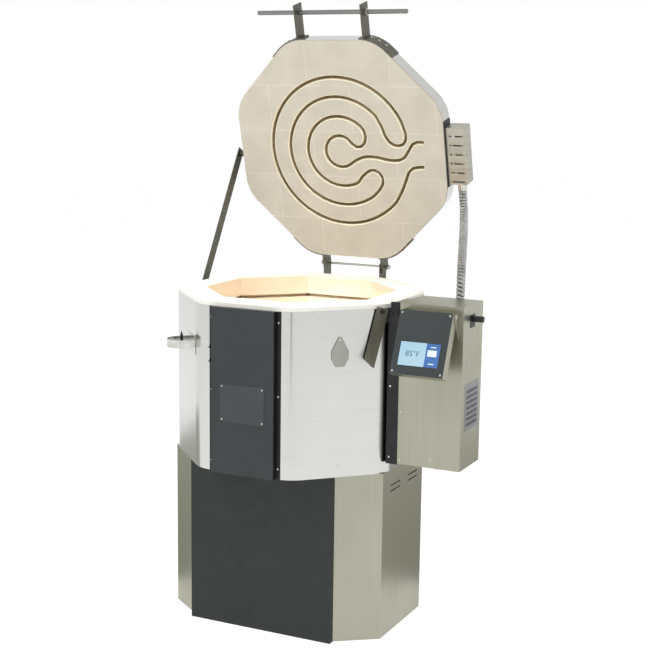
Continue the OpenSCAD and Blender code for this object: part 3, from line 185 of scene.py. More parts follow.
@dataclass(frozen=True)
class PowderCoat:
    """Baked powder coat on sheet steel: fine orange peel, dust in it and rubbed edges."""

    name: str
    colour: str
    pale: str
    roughness: float = 0.5
    peel: float = 0.06 * MM

    def build(self) -> bpy.types.Material:
        """Makes the coat's material."""
        g = Graph(bpy.data.materials.new(self.name))
        cloud = g.add("MapRange", [g.add("TexNoise", {"Scale": 7.0, "Detail": 6.0}), 0.35, 0.75])
        dust = g.add("MapRange", [g.add("TexNoise", {"Scale": 1500.0, "Detail": 1.0}), 0.62, 0.75, 0.0, 0.35])
        share = g.add("Math", [cloud, 0.5, dust], operation="MULTIPLY_ADD")
        colour = g.add("Mix", {0: share, 6: linear(self.colour), 7: linear(self.pale)}, 2, data_type="RGBA")
        rubbed = g.add("TexNoise", {"Scale": 30.0, "Detail": 4.0})
        rough = g.add("MapRange", [rubbed, 0.3, 0.7, self.roughness - 0.06, self.roughness + 0.08])
        peel = g.add("TexNoise", {"Scale": 650.0, "Detail": 3.0})
        normal = g.add("Bump", {"Height": peel, "Strength": 0.5, "Distance": self.peel})
        return g.finish({"Metallic": 0.0, "Specular IOR Level": 0.45,
                         "Base Color": colour, "Roughness": rough, "Normal": normal})


@dataclass(frozen=True)
class Bricks:
    """Soft insulating firebrick laid in a bond: pores, tone by brick, and pale cement joints."""

    name: str
    colour: str
    pale: str
    joint: str
    rise: float
    length: float
    tilt: float = 0.0
    origin: Point = (0.0, 0.0, 0.0)
    first_joint: float = 0.0
    first_row: float = 0.0
    groove_pale_and_lit: str = ""
    groove_from: float = 0.0
    groove_to: float = 0.0
    groove_middle: float = 0.0
    groove_reach: float = 0.0
    rim_highlight: str = ""
    rim_from: float = 0.0

    def bond(self, g: Graph, along: Socket, up: Socket) -> tuple[Socket, Socket]:
        """Lays the bricks in rows, every second row shifted by half a brick.

        Args:
            g: Graph of the material.
            along: Distance along a row.
            up: Distance across the rows.

        Returns:
            Share of cement joint, and a random value for each brick.
        """
        rows = g.add("Math", [up, self.rise], operation="DIVIDE")
        row = g.add("Math", [rows], operation="FLOOR")
        odd = g.add("Math", [g.add("Math", [row], operation="ABSOLUTE"), 2.0], operation="MODULO")
        start = g.add("Math", [along, self.first_joint], operation="SUBTRACT")
        run = g.add("Math", [odd, self.length / 2, start], operation="MULTIPLY_ADD")
        run = g.add("Math", [run, self.length], operation="DIVIDE")
        waver = g.add("TexNoise", {"Scale": 45.0, "Detail": 2.0})
        waver = g.add("Math", [waver, 0.006, -0.003], operation="MULTIPLY_ADD")
        lines = []
        for cells, size in ((rows, self.rise), (run, self.length)):
            off = g.add("Math", [g.add("Math", [cells], operation="FRACT"), 0.5], operation="SUBTRACT")
            off = g.add("Math", [g.add("Math", [off], operation="ABSOLUTE"), waver], operation="ADD")
            lines.append(g.add("MapRange", [off, 0.5 - 1.5 * MM / size, 0.5 - 0.5 * MM / size]))
        cell = g.add("CombineXYZ", [g.add("Math", [run], operation="FLOOR"), row])
        return g.add("Math", lines, operation="MAXIMUM"), g.add("TexWhiteNoise", {"Vector": cell})

    def groove_pale_and_lit_share(self, g: Graph, along: Socket, across: Socket, height: Socket) -> Socket:
        """Gives the share of the groove's colour for what lies inside the lid's face: paler cut brick, brightened
        further as a painted highlight on the lit walls and lip.
        """
        flat = g.add("CombineXYZ", [along, across])
        away = g.add("VectorMath", [flat, (0.0, self.groove_middle, 0.0)], "Value", operation="DISTANCE")
        sunk = g.add("MapRange", [height, self.groove_from, self.groove_from + 0.5 * MM])
        near = g.add("MapRange", [away, self.groove_reach, self.groove_reach + 8 * MM, 1.0, 0.0])
        below = g.add("MapRange", [height, self.groove_to, self.groove_to + 1 * MM, 1.0, 0.0])
        return g.add("Math", [g.add("Math", [sunk, near], operation="MULTIPLY"), below], operation="MULTIPLY")

    def build(self) -> bpy.types.Material:
        """Makes the brickwork's material."""
        g = Graph(bpy.data.materials.new(self.name))
        moved_place = g.add("Mapping", {"Vector": g.place, "Location": tuple(-v for v in self.origin)})
        turned = g.add("Mapping", {"Vector": moved_place, "Rotation": (self.tilt, 0, 0)})
        along, across, height = g.add("SeparateXYZ", [turned]).node.outputs
        up = g.add("Math", [across if self.tilt else height, self.first_row], operation="SUBTRACT")
        line, tone = self.bond(g, along, up)
        cloud = g.add("MapRange", [g.add("TexNoise", {"Scale": 14.0, "Detail": 8.0}), 0.3, 0.7, 0.0, 0.65])
        pores = g.add("TexVoronoi", {"Scale": 420.0}, "Distance")
        crumb = g.add("TexNoise", {"Scale": 160.0, "Detail": 4.0})
        pit = g.add("MapRange", [g.add("Math", [crumb, 0.4, pores], operation="MULTIPLY_ADD"), 0.22, 0.5])
        layers = [(g.add("Math", [tone, 0.35, cloud], operation="MULTIPLY_ADD"), self.pale, "MIX"),
                  (g.add("Math", [pit, -0.3, 0.3], operation="MULTIPLY_ADD"), self.joint, "MULTIPLY"),
                  (g.add("Math", [line, 0.75], operation="MULTIPLY"), self.joint, "MIX")]
        if self.groove_pale_and_lit:
            # The groove's walls and lip: paler cut brick, brightened further as a painted highlight.
            layers.append((self.groove_pale_and_lit_share(g, along, across, height), self.groove_pale_and_lit, "MIX"))
        if self.rim_highlight:
            # Painted highlight: the top of the wall bricks is paler, where the light falls on the rim.
            level = g.add("SeparateXYZ", [g.place], "Z")
            share = g.add("MapRange", [level, self.rim_from - 3 * MM, self.rim_from])
            layers.append((share, self.rim_highlight, "MIX"))
        body = linear(self.colour)
        for share, colour, blend in layers:
            body = g.add("Mix", {0: share, 6: body, 7: linear(colour)}, 2, data_type="RGBA", blend_type=blend)
        grain = g.add("TexNoise", {"Scale": 900.0, "Detail": 2.0})
        grit = g.add("Mix", {0: 0.4, 2: pit, 3: grain})
        normal = g.add("Bump", {"Height": grit, "Strength": 0.5, "Distance": 0.6 * MM})
        return g.finish({"Roughness": 0.92, "Specular IOR Level": 0.2, "Base Color": body, "Normal": normal})


@dataclass(frozen=True)
class Fibre:
    """White ceramic fibre blanket: matted strands with a soft nap."""

    name: str = "ceramic fibre"

    def build(self) -> bpy.types.Material:
        """Makes the blanket's material."""
        g = Graph(bpy.data.materials.new(self.name))
        matted = g.add("Mapping", {"Vector": g.place, "Scale": (300, 300, 900), "Rotation": (0.4, 0.2, 0.0)})
        strands = g.add("TexNoise", {"Vector": matted, "Scale": 1.0, "Detail": 6.0})
        share = g.add("MapRange", [strands, 0.3, 0.7])
        colour = g.add("Mix", {0: share, 6: linear("#E9E4D6"), 7: linear("#FBFAF6")}, 2, data_type="RGBA")
        normal = g.add("Bump", {"Height": strands, "Strength": 0.8, "Distance": 0.8 * MM})
        return g.finish({"Roughness": 1.0, "Sheen Weight": 0.3, "Base Color": colour, "Normal": normal})


@dataclass(frozen=True)
class Oxide:
    """Resistance wire with its fired oxide skin, dark olive with rusty patches."""

    name: str = "oxidised element wire"
    colour: str = "#8F7F5C"
    patch: str = "#6E6045"

    def build(self) -> bpy.types.Material:
        """Makes the wire's material."""
        g = Graph(bpy.data.materials.new(self.name))
        share = g.add("MapRange", [g.add("TexNoise", {"Scale": 90.0, "Detail": 4.0}), 0.4, 0.65])
        colour = g.add("Mix", {0: share, 6: linear(self.colour), 7: linear(self.patch)}, 2, data_type="RGBA")
        scale = g.add("TexNoise", {"Scale": 2500.0, "Detail": 2.0})
        normal = g.add("Bump", {"Height": scale, "Strength": 0.4, "Distance": 0.1 * MM})
        return g.finish({"Metallic": 0.35, "Roughness": 0.62, "Base Color": colour, "Normal": normal})


@dataclass(frozen=True)
class Moulded:
    """Moulded plastic or glazed part: even colour, fine texture and slight wear."""

    name: str
    colour: str
    worn: str
    roughness: float = 0.42
    texture: float = 0.04 * MM

    def build(self) -> bpy.types.Material:
        """Makes the moulding's material."""
        g = Graph(bpy.data.materials.new(self.name))
        share = g.add("MapRange", [g.add("TexNoise", {"Scale": 35.0, "Detail": 5.0}), 0.45, 0.8])
        colour = g.add("Mix", {0: share, 6: linear(self.colour), 7: linear(self.worn)}, 2, data_type="RGBA")
        rubbed = g.add("TexNoise", {"Scale": 60.0, "Detail": 3.0})
        rough = g.add("MapRange", [rubbed, 0.3, 0.7, self.roughness - 0.05, self.roughness + 0.08])
        spark = g.add("TexNoise", {"Scale": 1100.0, "Detail": 2.0})
        normal = g.add("Bump", {"Height": spark, "Strength": 0.35, "Distance": self.texture})
        return g.finish({"Metallic": 0.0, "Base Color": colour, "Roughness": rough, "Normal": normal})


@dataclass(frozen=True)
class LitGlass:
    """Part of a lit display: a faint backlight under a smooth cover."""

    name: str
    colour: str
    edge: str
    glow: float = 0.55

    def build(self) -> bpy.types.Material:
        """Makes the display's material."""
        g = Graph(bpy.data.materials.new(self.name))
        fall = g.add("MapRange", [g.add("TexNoise", {"Scale": 9.0, "Detail": 0.0}), 0.3, 0.7])
        pixel = g.add("TexNoise", {"Scale": 4200.0, "Detail": 0.0})
        pixel = g.add("Math", [pixel, 0.05], operation="MULTIPLY")
        colour = g.add("Mix", {0: fall, 6: linear(self.colour), 7: linear(self.edge)}, 2, data_type="RGBA")
        colour = g.add("Mix", {0: pixel, 6: colour, 7: linear("#FFFFFF")}, 2, data_type="RGBA")
        return g.finish({"Roughness": 0.16, "Emission Strength": self.glow,
                         "Base Color": colour, "Emission Color": colour})


# Sheet metal: what the eye reads is the roll direction, the reflections' width and the slow waves in them
BRIGHT = SheetSteel("bright stainless sheet", "#D0D0CD", "#CACAC6", 0.16, Grain.LEVEL,
                    grain_depth=0.003 * MM, wave=0.8 * MM, scratches=0.02)
SATIN = SheetSteel("brushed stainless sheet", "#ACAB9C", "#A4A392", 0.36, Grain.UPRIGHT,
                   wave=0.6 * MM, scratches=0.03)
SATIN_LID = SheetSteel("brushed stainless box", "#BEBBAE", "#A8A598", 0.38, grain_depth=0.02 * MM)
PLATE = SheetSteel("satin cover plate", "#A9AAA2", "#9A9B92", 0.34, Grain.UPRIGHT)
ZINC = SheetSteel("bright zinc plate", "#DEDEDA", "#C2C2BC", 0.2, Grain.NONE)
GALVANISED = SheetSteel("galvanised conduit strip", "#C4C4C1", "#9C9C98", 0.3, Grain.NONE, 0.02 * MM)
# Painted shade: a dark copy of the conduit strip, laid in the laps between the ribs.
LAP_SHADE = SheetSteel("painted shade in the conduit laps", "#2C2C2B", "#222221", 0.6, Grain.NONE, 0.02 * MM)
BAR = SheetSteel("ground steel bar", "#989896", "#888886", 0.4, grain_depth=0.02 * MM)
STRAP = SheetSteel("oiled strap steel", "#7A786C", "#5E5C52", 0.46, Grain.UPRIGHT,
                   grain_depth=0.04 * MM, scratches=0.08)
LABEL = SheetSteel("anodised plate", "#9C9C9E", "#8C8C90", 0.42)

# Powder coat and enamel: dark colour with a dusty bloom and a soft, broad shine
CHARCOAL = PowderCoat("charcoal powder coat", "#2A2E2F", "#333839", 0.46)
PANEL = PowderCoat("dark panel powder coat", "#1D2221", "#262B2A", 0.5)
BLACK = PowderCoat("black powder coat", "#0C0D0F", "#17191B", 0.42)
SLATE = PowderCoat("slate enamel", "#383C3E", "#44494B", 0.4, 0.03 * MM)
FACE = PowderCoat("dark faceplate film", "#343939", "#3F4444", 0.38, 0.03 * MM)

# Insulating firebrick: warm white, chalky, with its bond and joints; the lid's is greyer
# The walls' rim colour is a painted highlight on the top of the bricks.
WALL = Bricks("chamber firebrick", "#FAE6CA", "#FDEFD9", "#FFF8EA", 114.3 * MM, 228.6 * MM,
              origin=(0.0, 0.0, 622.2 * MM), rim_highlight="#FFFBEF", rim_from=1080.6 * MM)
FLOOR = Bricks("floor firebrick", "#F8E4CA", "#FBEEDA", "#FEF6E8", 114.3 * MM, 228.6 * MM)
# The lid's groove colour is paler cut brick, brightened into a painted highlight on its lit lip.
LID = Bricks("lid firebrick", "#CAC3B3", "#D8D1C3", "#E4DED2", 157.5 * MM, 305 * MM,
             tilt=LID_ANGLE, origin=HINGE, first_joint=54.5 * MM,
             first_row=-20.5 * MM, groove_pale_and_lit="#FFF4D8", groove_from=-31.42 * MM, groove_to=-18.5 * MM,
             groove_middle=-HINGE[1], groove_reach=336 * MM)

# Fibre, wire, ceramic and plastic: matt, each with its own texture
FIBRE = Fibre()
OXIDE = Oxide()
CERAMIC = Moulded("fired white ceramic", "#ECE8DD", "#D9D3C4", 0.55, 0.1 * MM)
PLASTIC = Moulded("black moulded plastic", "#121314", "#26282A")
HOUSING = Moulded("dark relay housing", "#23272B", "#2F3439", 0.5)

# Display: flat colours that glow a little under a smooth cover
PALE_SCREEN = LitGlass("pale blue display", "#94B8CA", "#A2C3D2", 0.18)
BLUE_SCREEN = LitGlass("blue display column", "#27569A", "#3264AA", 0.15)
WHITE_KEY = LitGlass("white display key", "#C9DCEC", "#DCE8F2", 0.2)
DARK_GLASS = LitGlass("black display border", "#15181C", "#1B1F24", 0.0)
INK = LitGlass("dark display digits", "#3A5560", "#46626E", 0.1)

_made: dict[str, bpy.types.Material] = {}


def material(finish: object) -> bpy.types.Material:
    """Gives a finish's material, made once."""
    if finish.name not in _made:
        _made[finish.name] = finish.build()
    return _made[finish.name]


def paint(piece: Piece, finish: object) -> Piece:
    """Puts one finish on the whole of a piece.

    Args:
        piece: Mesh object to paint.
        finish: Finish from the list above.

    Returns:
        The same piece.
    """
    piece.data.materials.clear()
    piece.data.materials.append(material(finish))
    return piece


# Modelling by hand


def choose(*pieces: Piece) -> None:
    """Selects these pieces only, the last one active."""
    if bpy.context.object and bpy.context.object.mode != "OBJECT":
        bpy.ops.object.mode_set(mode="OBJECT")
    bpy.ops.object.select_all(action="DESELECT")
    for piece in pieces:
        piece.select_set(True)
    bpy.context.view_layer.objects.active = pieces[-1] if pieces else None


def settle(piece: Piece, name: str) -> Piece:
    """Names a piece and puts its place into its mesh."""
    choose(piece)
    bpy.ops.object.transform_apply(location=True, rotation=True, scale=True)
    piece.name = name
    return piece


def apply_all(piece: Piece) -> None:
    """Applies every modifier of a piece."""
    choose(piece)
    for modifier in list(piece.modifiers):
        bpy.ops.object.modifier_apply(modifier=modifier.name)


def soften(piece: Piece, width: float, segments: int = 2, angle: float = 35.0) -> Piece:
    """Rounds a piece's sharp edges and smooths its shading.

    Args:
        piece: Mesh object.
        width: Width of the rounding in metres.
        segments: Steps across the rounding.
        angle: Least angle, in degrees, of an edge that is rounded.

    Returns:
        The same piece.
    """
    if width > 0:
        bevel = piece.modifiers.new("edges", "BEVEL")
        bevel.width = width
        bevel.segments = segments
        bevel.limit_method = "ANGLE"
        bevel.angle_limit = math.radians(angle)
        apply_all(piece)
    choose(piece)
    bpy.ops.object.shade_smooth_by_angle(angle=math.radians(32))
    flat = piece.modifiers.new("flat faces", "WEIGHTED_NORMAL")
    flat.keep_sharp = True
    apply_all(piece)
    return piece


def block(name: str, low: Point, high: Point, width: float = 0.6 * MM, segments: int = 2) -> Piece:
    """Adds a box with rounded edges.

    Args:
        name: Name of the piece.
        low: Lowest corner in metres.
        high: Highest corner in metres.
        width: Width of the edge rounding.
        segments: Steps across the rounding.

    Returns:
        The new piece.
    """
    centre = [(a + b) / 2 for a, b in zip(low, high)]
    choose()
    bpy.ops.mesh.primitive_cube_add(size=1, location=centre, scale=[b - a for a, b in zip(low, high)])
    return soften(settle(bpy.context.object, name), width, segments)


def rod(name: str, start: Vector, end: Vector, radius: float,
        vertices: int = 32, width: float = 0.5 * MM) -> Piece:
    """Adds a round rod between two points, its ends rounded.

    Args:
        name: Name of the piece.
        start: Centre of one end.
        end: Centre of the other end.
        radius: Radius in metres.
        vertices: Corners of its outline.
        width: Width of the edge rounding.

    Returns:
        The new piece.
    """
    axis = Vector(end) - Vector(start)
    choose()
    bpy.ops.mesh.primitive_cylinder_add(
        vertices=vertices, radius=radius, depth=axis.length, location=(Vector(start) + Vector(end)) / 2,
        rotation=axis.to_track_quat("Z", "Y").to_euler())
    return soften(settle(bpy.context.object, name), width)


def panel(name: str, outline: Flat, thickness: float, width: float = 0.4 * MM) -> Piece:
    """Draws an outline, extrudes it and rounds its edges.

    Args:
        name: Name of the piece.
        outline: Points in the XY plane, anticlockwise, in metres.
        thickness: Depth of the extrusion along +Z.
        width: Width of the edge rounding.

    Returns:
        The new piece, lying on the XY plane.
    """
    choose()
    bpy.ops.mesh.primitive_circle_add(vertices=len(outline), radius=1, fill_type="NGON")
    piece = bpy.context.object
    for vertex, (x, y) in zip(piece.data.vertices, outline):
        vertex.co = (x, y, 0)
    bpy.ops.object.mode_set(mode="EDIT")
    bpy.ops.mesh.select_all(action="SELECT")
    bpy.ops.mesh.extrude_region_move(TRANSFORM_OT_translate={"value": (0, 0, thickness)})
    bpy.ops.mesh.select_all(action="SELECT")
    bpy.ops.mesh.normals_make_consistent(inside=False)
    bpy.ops.object.mode_set(mode="OBJECT")
    return soften(settle(piece, name), width)


def rounded(width: float, height: float, radius: float, steps: int = 6) -> Flat:
    """Gives the outline of a rectangle with round corners, centred on the origin."""
    points = []
    reach_x, reach_y = width / 2 - radius, height / 2 - radius
    for k, (sx, sy) in enumerate(((1, 1), (-1, 1), (-1, -1), (1, -1))):
        for i in range(steps + 1):
            a = math.radians(90 * k + 90 * i / steps)
            points.append((sx * reach_x + radius * math.cos(a), sy * reach_y + radius * math.sin(a)))
    return points


def moved(piece: Piece, matrix: Matrix) -> Piece:
    """Moves a piece by a matrix and puts the place into its mesh."""
    piece.matrix_world = matrix @ piece.matrix_world
    return settle(piece, piece.name)


def joined(name: str, pieces: list[Piece]) -> Piece:
    """Joins pieces into one that carries the given name."""
    choose(*pieces)
    bpy.ops.object.join()
    bpy.context.object.name = name
    return bpy.context.object


def copy_of(piece: Piece) -> Piece:
    """Copies a piece with its own mesh."""
    made = bpy.data.objects.new(piece.name, piece.data.copy())
    bpy.context.scene.collection.objects.link(made)
    return made


def skin(node: str, width: float = 0.6 * MM, segments: int = 2, angle: float = 35.0) -> Piece:
    """Copies a solid's surface, merges it and rounds its edges, so that it can stand for the solid.

    Args:
        node: Name of the solid.
        width: Width of the edge rounding in metres.
        segments: Steps across the rounding.
        angle: Least angle, in degrees, of an edge that is rounded.

    Returns:
        The new piece.
    """
    piece = bpy.data.objects.new(f"{node}.skin", frame["nodes"][node].data.copy())
    bpy.context.scene.collection.objects.link(piece)
    choose(piece)
    bpy.ops.object.mode_set(mode="EDIT")
    bpy.ops.mesh.select_all(action="SELECT")
    bpy.ops.mesh.remove_doubles(threshold=0.000002)
    bpy.ops.mesh.dissolve_limited(angle_limit=math.radians(0.3))
    bpy.ops.object.mode_set(mode="OBJECT")
    return soften(piece, width, segments, angle)


def place_for(piece: Piece, body: str, *nodes: str) -> Piece:
    """Makes a piece ride on a body and stand for these nodes."""
    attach(piece, body)
    if nodes:
        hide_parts(*nodes)
    log.info("%s rides on %s%s", piece.name, body, f", for {', '.join(nodes)}" if nodes else "")
    return piece


def body_of_node(node: str) -> str:
    """Gives the body that a node belongs to."""
    return next(body for body, nodes in frame["record"]["behaviour"]["bodies"].items() if node in nodes)


def dress(node: str, finish: object, width: float = 0.6 * MM, segments: int = 2, angle: float = 35.0) -> Piece:
    """Stands an edge-rounded copy in for a node, in one finish."""
    return place_for(paint(skin(node, width, segments, angle), finish), body_of_node(node), node)


# Screws


@dataclass
class Seat:
    """Place of one screw: where its head rests, the way it points out, and the head's radius."""

    point: Vector
    out: Vector
    radius: float


def seats(node: str) -> list[Seat]:
    """Finds each screw of a node from its loose solids.

    Args:
        node: Node whose solids are screws or rivets.

    Returns:
        One seat per solid.
    """
    mesh = frame["nodes"][node].data
    points = np.array([v.co for v in mesh.vertices])
    keys = [tuple(np.round(p, 6)) for p in points]
    parent = {k: k for k in keys}

    def root(k: tuple) -> tuple:
        """Follows a point to the root of its solid."""
        while parent[k] != k:
            parent[k] = parent[parent[k]]
            k = parent[k]
        return k

    for edge in mesh.edges:
        a, b = (root(keys[i]) for i in edge.vertices)
        parent[a] = b
    groups: dict[tuple, list] = {}
    for k in parent:
        groups.setdefault(root(k), []).append(k)
    found = []
    for group in groups.values():
        p = np.array(group)
        centre = (p.min(0) + p.max(0)) / 2
        q = p - centre
        values, vectors = np.linalg.eigh(np.cov((q - q.mean(0)).T))
        lone = 0 if abs(values[1] - values[0]) > abs(values[2] - values[1]) else 2
        axis = vectors[:, lone]
        t = q @ axis
        off = q - np.outer(t, axis)
        off -= (off.min(0) + off.max(0)) / 2
        r = np.linalg.norm(off, axis=1)
        wide = r > r.max() - 1e-5
        if t[wide].mean() < t[~wide].mean() and not (~wide & (r < r.max() * 0.6) & (t < t[wide].min())).any():
            axis, t = -axis, -t
        seat = t[wide].min()
        tip = r < r.max() * 0.5
        if tip.any() and t[tip].mean() > seat:
            axis, seat = -axis, -t[wide].max()
        found.append(Seat(Vector(centre + axis * seat), Vector(axis), float(r.max())))
    return found


@dataclass
class PanHead:
    """Cross-recess pan head screw, modelled once and copied to its places."""

    head: Piece = field(init=False)

    def __post_init__(self) -> None:
        """Models the head with a radius of one metre, to be scaled."""
        choose()
        bpy.ops.mesh.primitive_cylinder_add(vertices=20, radius=1, depth=0.62, location=(0, 0, 0.31))
        self.head = bpy.context.object
        bpy.ops.object.mode_set(mode="EDIT")
        bpy.ops.mesh.select_all(action="DESELECT")
        bpy.ops.object.mode_set(mode="OBJECT")
        for face in self.head.data.polygons:
            face.select = face.normal.z > 0.9
        bpy.ops.object.mode_set(mode="EDIT")
        bpy.ops.mesh.bevel(offset=0.34, segments=3, affect="EDGES")
        bpy.ops.object.mode_set(mode="OBJECT")
        for turn in (0.35, 0.35 + math.pi / 2):
            bpy.ops.mesh.primitive_cube_add(
                size=1, location=(0, 0, 0.56), scale=(0.95, 0.17, 0.34), rotation=(0, 0, turn))
            cutter = bpy.context.object
            cut = self.head.modifiers.new("recess", "BOOLEAN")
            cut.operation, cut.object, cut.solver = "DIFFERENCE", cutter, "EXACT"
            apply_all(self.head)
            bpy.data.objects.remove(cutter)
        settle(self.head, "pan_head")
        choose(self.head)
        bpy.ops.object.shade_smooth_by_angle(angle=math.radians(40))

    def fill(self, node: str, finish: object) -> Piece:
        """Puts a head on each seat of a node and lets them stand for it."""
        heads = []
        for i, seat in enumerate(seats(node)):
            one = copy_of(self.head)
            turn = seat.out.to_track_quat("Z", "Y").to_matrix().to_4x4()
            spin = Matrix.Rotation(i * 1.3, 4, "Z")
            one.matrix_world = Matrix.Translation(seat.point) @ turn @ spin @ Matrix.Scale(seat.radius, 4)
            heads.append(one)
        piece = joined(f"{node}.heads", heads)
        return place_for(paint(settle(piece, piece.name), finish), body_of_node(node), node)

    def clear(self) -> None:
        """Removes the model that the heads were copied from."""
        bpy.data.objects.remove(self.head)


# Coils


def smooth_route(points: list[Vector], step: float) -> list[Vector]:
    """Runs a smooth curve through points.

    Args:
        points: Points on the route.
        step: Distance between the points of the result.

    Returns:
        Points along the curve, about a step apart.
    """
    dense = []
    for i in range(len(points) - 1):
        p0, p1, p2 = points[max(i - 1, 0)], points[i], points[i + 1]
        p3 = points[min(i + 2, len(points) - 1)]
        for k in range(12):
            t = k / 12
            dense.append(0.5 * (2 * p1 + (p2 - p0) * t + (2 * p0 - 5 * p1 + 4 * p2 - p3) * t * t
                                + (3 * p1 - p0 - 3 * p2 + p3) * t ** 3))
    dense.append(points[-1])
    marks = [0.0]
    for a, b in zip(dense, dense[1:]):
        marks.append(marks[-1] + (b - a).length)
    count = max(2, round(marks[-1] / step))
    route, j = [], 0
    for i in range(count + 1):
        s = marks[-1] * i / count
        while j < len(marks) - 2 and marks[j + 1] < s:
            j += 1
        share = (s - marks[j]) / max(marks[j + 1] - marks[j], 1e-9)
        route.append(dense[j].lerp(dense[j + 1], min(share, 1.0)))
    return route


@dataclass
class Coil:
    """Coiled resistance wire that follows a route."""

    radius: float = 3.4 * MM
    wire: float = 0.85 * MM
    pitch: float = 3.6 * MM
    steps: int = 9

    def wind(self, name: str, route: list[Vector], up: Vector) -> Piece:
        """Winds the wire round the route.

        Args:
            name: Name of the piece.
            route: Points of the centre line.
            up: Direction that is square to the route all along.

        Returns:
            The coil as a mesh.
        """
        line = smooth_route(route, self.pitch / self.steps)
        points = []
        for i, here in enumerate(line):
            ahead = (line[min(i + 1, len(line) - 1)] - line[max(i - 1, 0)]).normalized()
            side = ahead.cross(up).normalized()
            a = 2 * math.pi * i / self.steps
            points.append(here + self.radius * (math.cos(a) * side + math.sin(a) * up))
        curve = bpy.data.curves.new(name, "CURVE")
        curve.dimensions = "3D"
        curve.bevel_depth = self.wire
        curve.bevel_resolution = 0
        curve.use_fill_caps = True
        spline = curve.splines.new("POLY")
        spline.points.add(len(points) - 1)
        for target, point in zip(spline.points, points):
            target.co = (*point, 1.0)
        piece = bpy.data.objects.new(name, curve)
        bpy.context.scene.collection.objects.link(piece)
        choose(piece)
        bpy.ops.object.convert(target="MESH")
        bpy.ops.object.shade_smooth()
        return bpy.context.object


# Sub-assemblies


@dataclass
class Stand:
    """Sheet metal stand under the kiln."""

    edge: float = 0.6 * MM

    def build(self) -> None:
        """Dresses the stand's sheets."""
        for node in ("stand_left_wrap", "stand_right_wrap", "stand_back_panel", "stand_top_plate"):
            dress(node, SATIN, self.edge)
        dress("stand_front_panel", PANEL, 0.9 * MM, 3)


@dataclass
class Body:
    """Brickwork, jacket and element cover."""

    rim_z: float = 1081.2 * MM
    chamber: float = 583 * MM
    groove_drop: float = 68 * MM
    groove_pitch: float = 112 * MM
    grooves: int = 4
    groove_set: float = 3.6 * MM
    lead_gap: float = 76 * MM
    lead_depth: float = 30 * MM
    lead_end: float = -389 * MM
    lead_radius: float = 2 * MM
    flank_x: float = 113.2 * MM
    louvre_x: float = -104.2 * MM

    def bricks(self) -> None:
        """Dresses the bricks, the blanket and the pan."""
        dress("wall_bricks", WALL, 1.6 * MM, 2, 40)
        dress("floor_brick", FLOOR, 1.5 * MM)
        dress("fibre_blanket", FIBRE, 1.2 * MM)
        dress("floor_pan", BRIGHT, 0)

    def lap(self, z: float) -> list[Vector]:
        """Gives one element's way: in through the front wall, round the eight walls and out again.

        Args:
            z: Height of its groove.

        Returns:
            Points of the centre line.
        """
        a = self.chamber / 2 + self.groove_set
        half = a * math.tan(math.radians(22.5))
        x = self.lead_gap / 2
        way = [Vector((x, -a - self.lead_depth, z)), Vector((x, -a, z))]
        shares = {-2: (0.5, 0.93), 6: (-0.93, -0.5)}
        for wall in range(-2, 7):
            turn = Matrix.Rotation(math.radians(45 * wall), 3, "Z")
            way += [turn @ Vector((a, half * share, z)) for share in shares.get(wall, (-0.93, 0.93))]
        return way + [Vector((-x, -a, z)), Vector((-x, -a - self.lead_depth, z))]

    def elements(self) -> None:
        """Winds the four wall elements and lets them stand for the plain bands."""
        levels = [self.rim_z - self.groove_drop - i * self.groove_pitch for i in range(self.grooves)]
        coil = Coil(3.2 * MM, 0.95 * MM, 5.4 * MM, 7)
        parts = [coil.wind(f"wall_coil_{i}", self.lap(z), Vector((0, 0, 1))) for i, z in enumerate(levels)]
        start = -self.chamber / 2 - self.groove_set - self.lead_depth + 2 * MM
        for i, z in enumerate(levels):
            for x in (-self.lead_gap / 2, self.lead_gap / 2):
                ends = Vector((x, start, z)), Vector((x, self.lead_end, z))
                parts.append(rod(f"lead_{i}", *ends, self.lead_radius, 12, 0))
        place_for(paint(joined("wall_coils", parts), OXIDE), "kiln", "side_elements")

    def jacket(self) -> None:
        """Dresses the stainless jacket and its cover."""
        for node in ("jacket_left", "jacket_right", "jacket_seam_strip"):
            dress(node, BRIGHT, 0.35 * MM, 2, 40)
        cover = dress("front_cover", CHARCOAL, 0.6 * MM, 3)
        cover.data.materials.append(material(BLACK))
        for face in cover.data.polygons:
            if face.center.x > self.flank_x or face.center.x < self.louvre_x:
                face.material_index = 1
        dress("blank_plate", SLATE, 0.35 * MM)
        dress("element_terminals", CERAMIC, 0.8 * MM)
        dress("peephole_cover", PLATE, 0.5 * MM)
        dress("peephole_rivet", ZINC, 0.4 * MM)
        dress("thermocouple", CERAMIC, 0.6 * MM)

    def build(self) -> None:
        """Builds the body."""
        self.bricks()
        self.elements()
        self.jacket()


@dataclass
class Fittings:
    """Handle, hook, channels, prop, hinge and support bar."""

    def build(self) -> None:
        """Dresses the fittings on the jacket."""
        dress("side_handle", ZINC, 0.9 * MM, 3)
        dress("side_handle_hook", BLACK, 0.8 * MM, 3)
        for node in ("channel_front", "channel_rear", "prop_bracket"):
            dress(node, BLACK, 0.6 * MM)
        dress("prop_bolt", BLACK, 0.6 * MM)
        for node in ("lid_prop", "hinge_brackets", "lid_hinge_straps", "handle_arms", "support_bar",
                     "support_bar_lug", "support_guide"):
            dress(node, STRAP, 0.6 * MM)
        dress("hinge_rod", ZINC, 0.5 * MM)


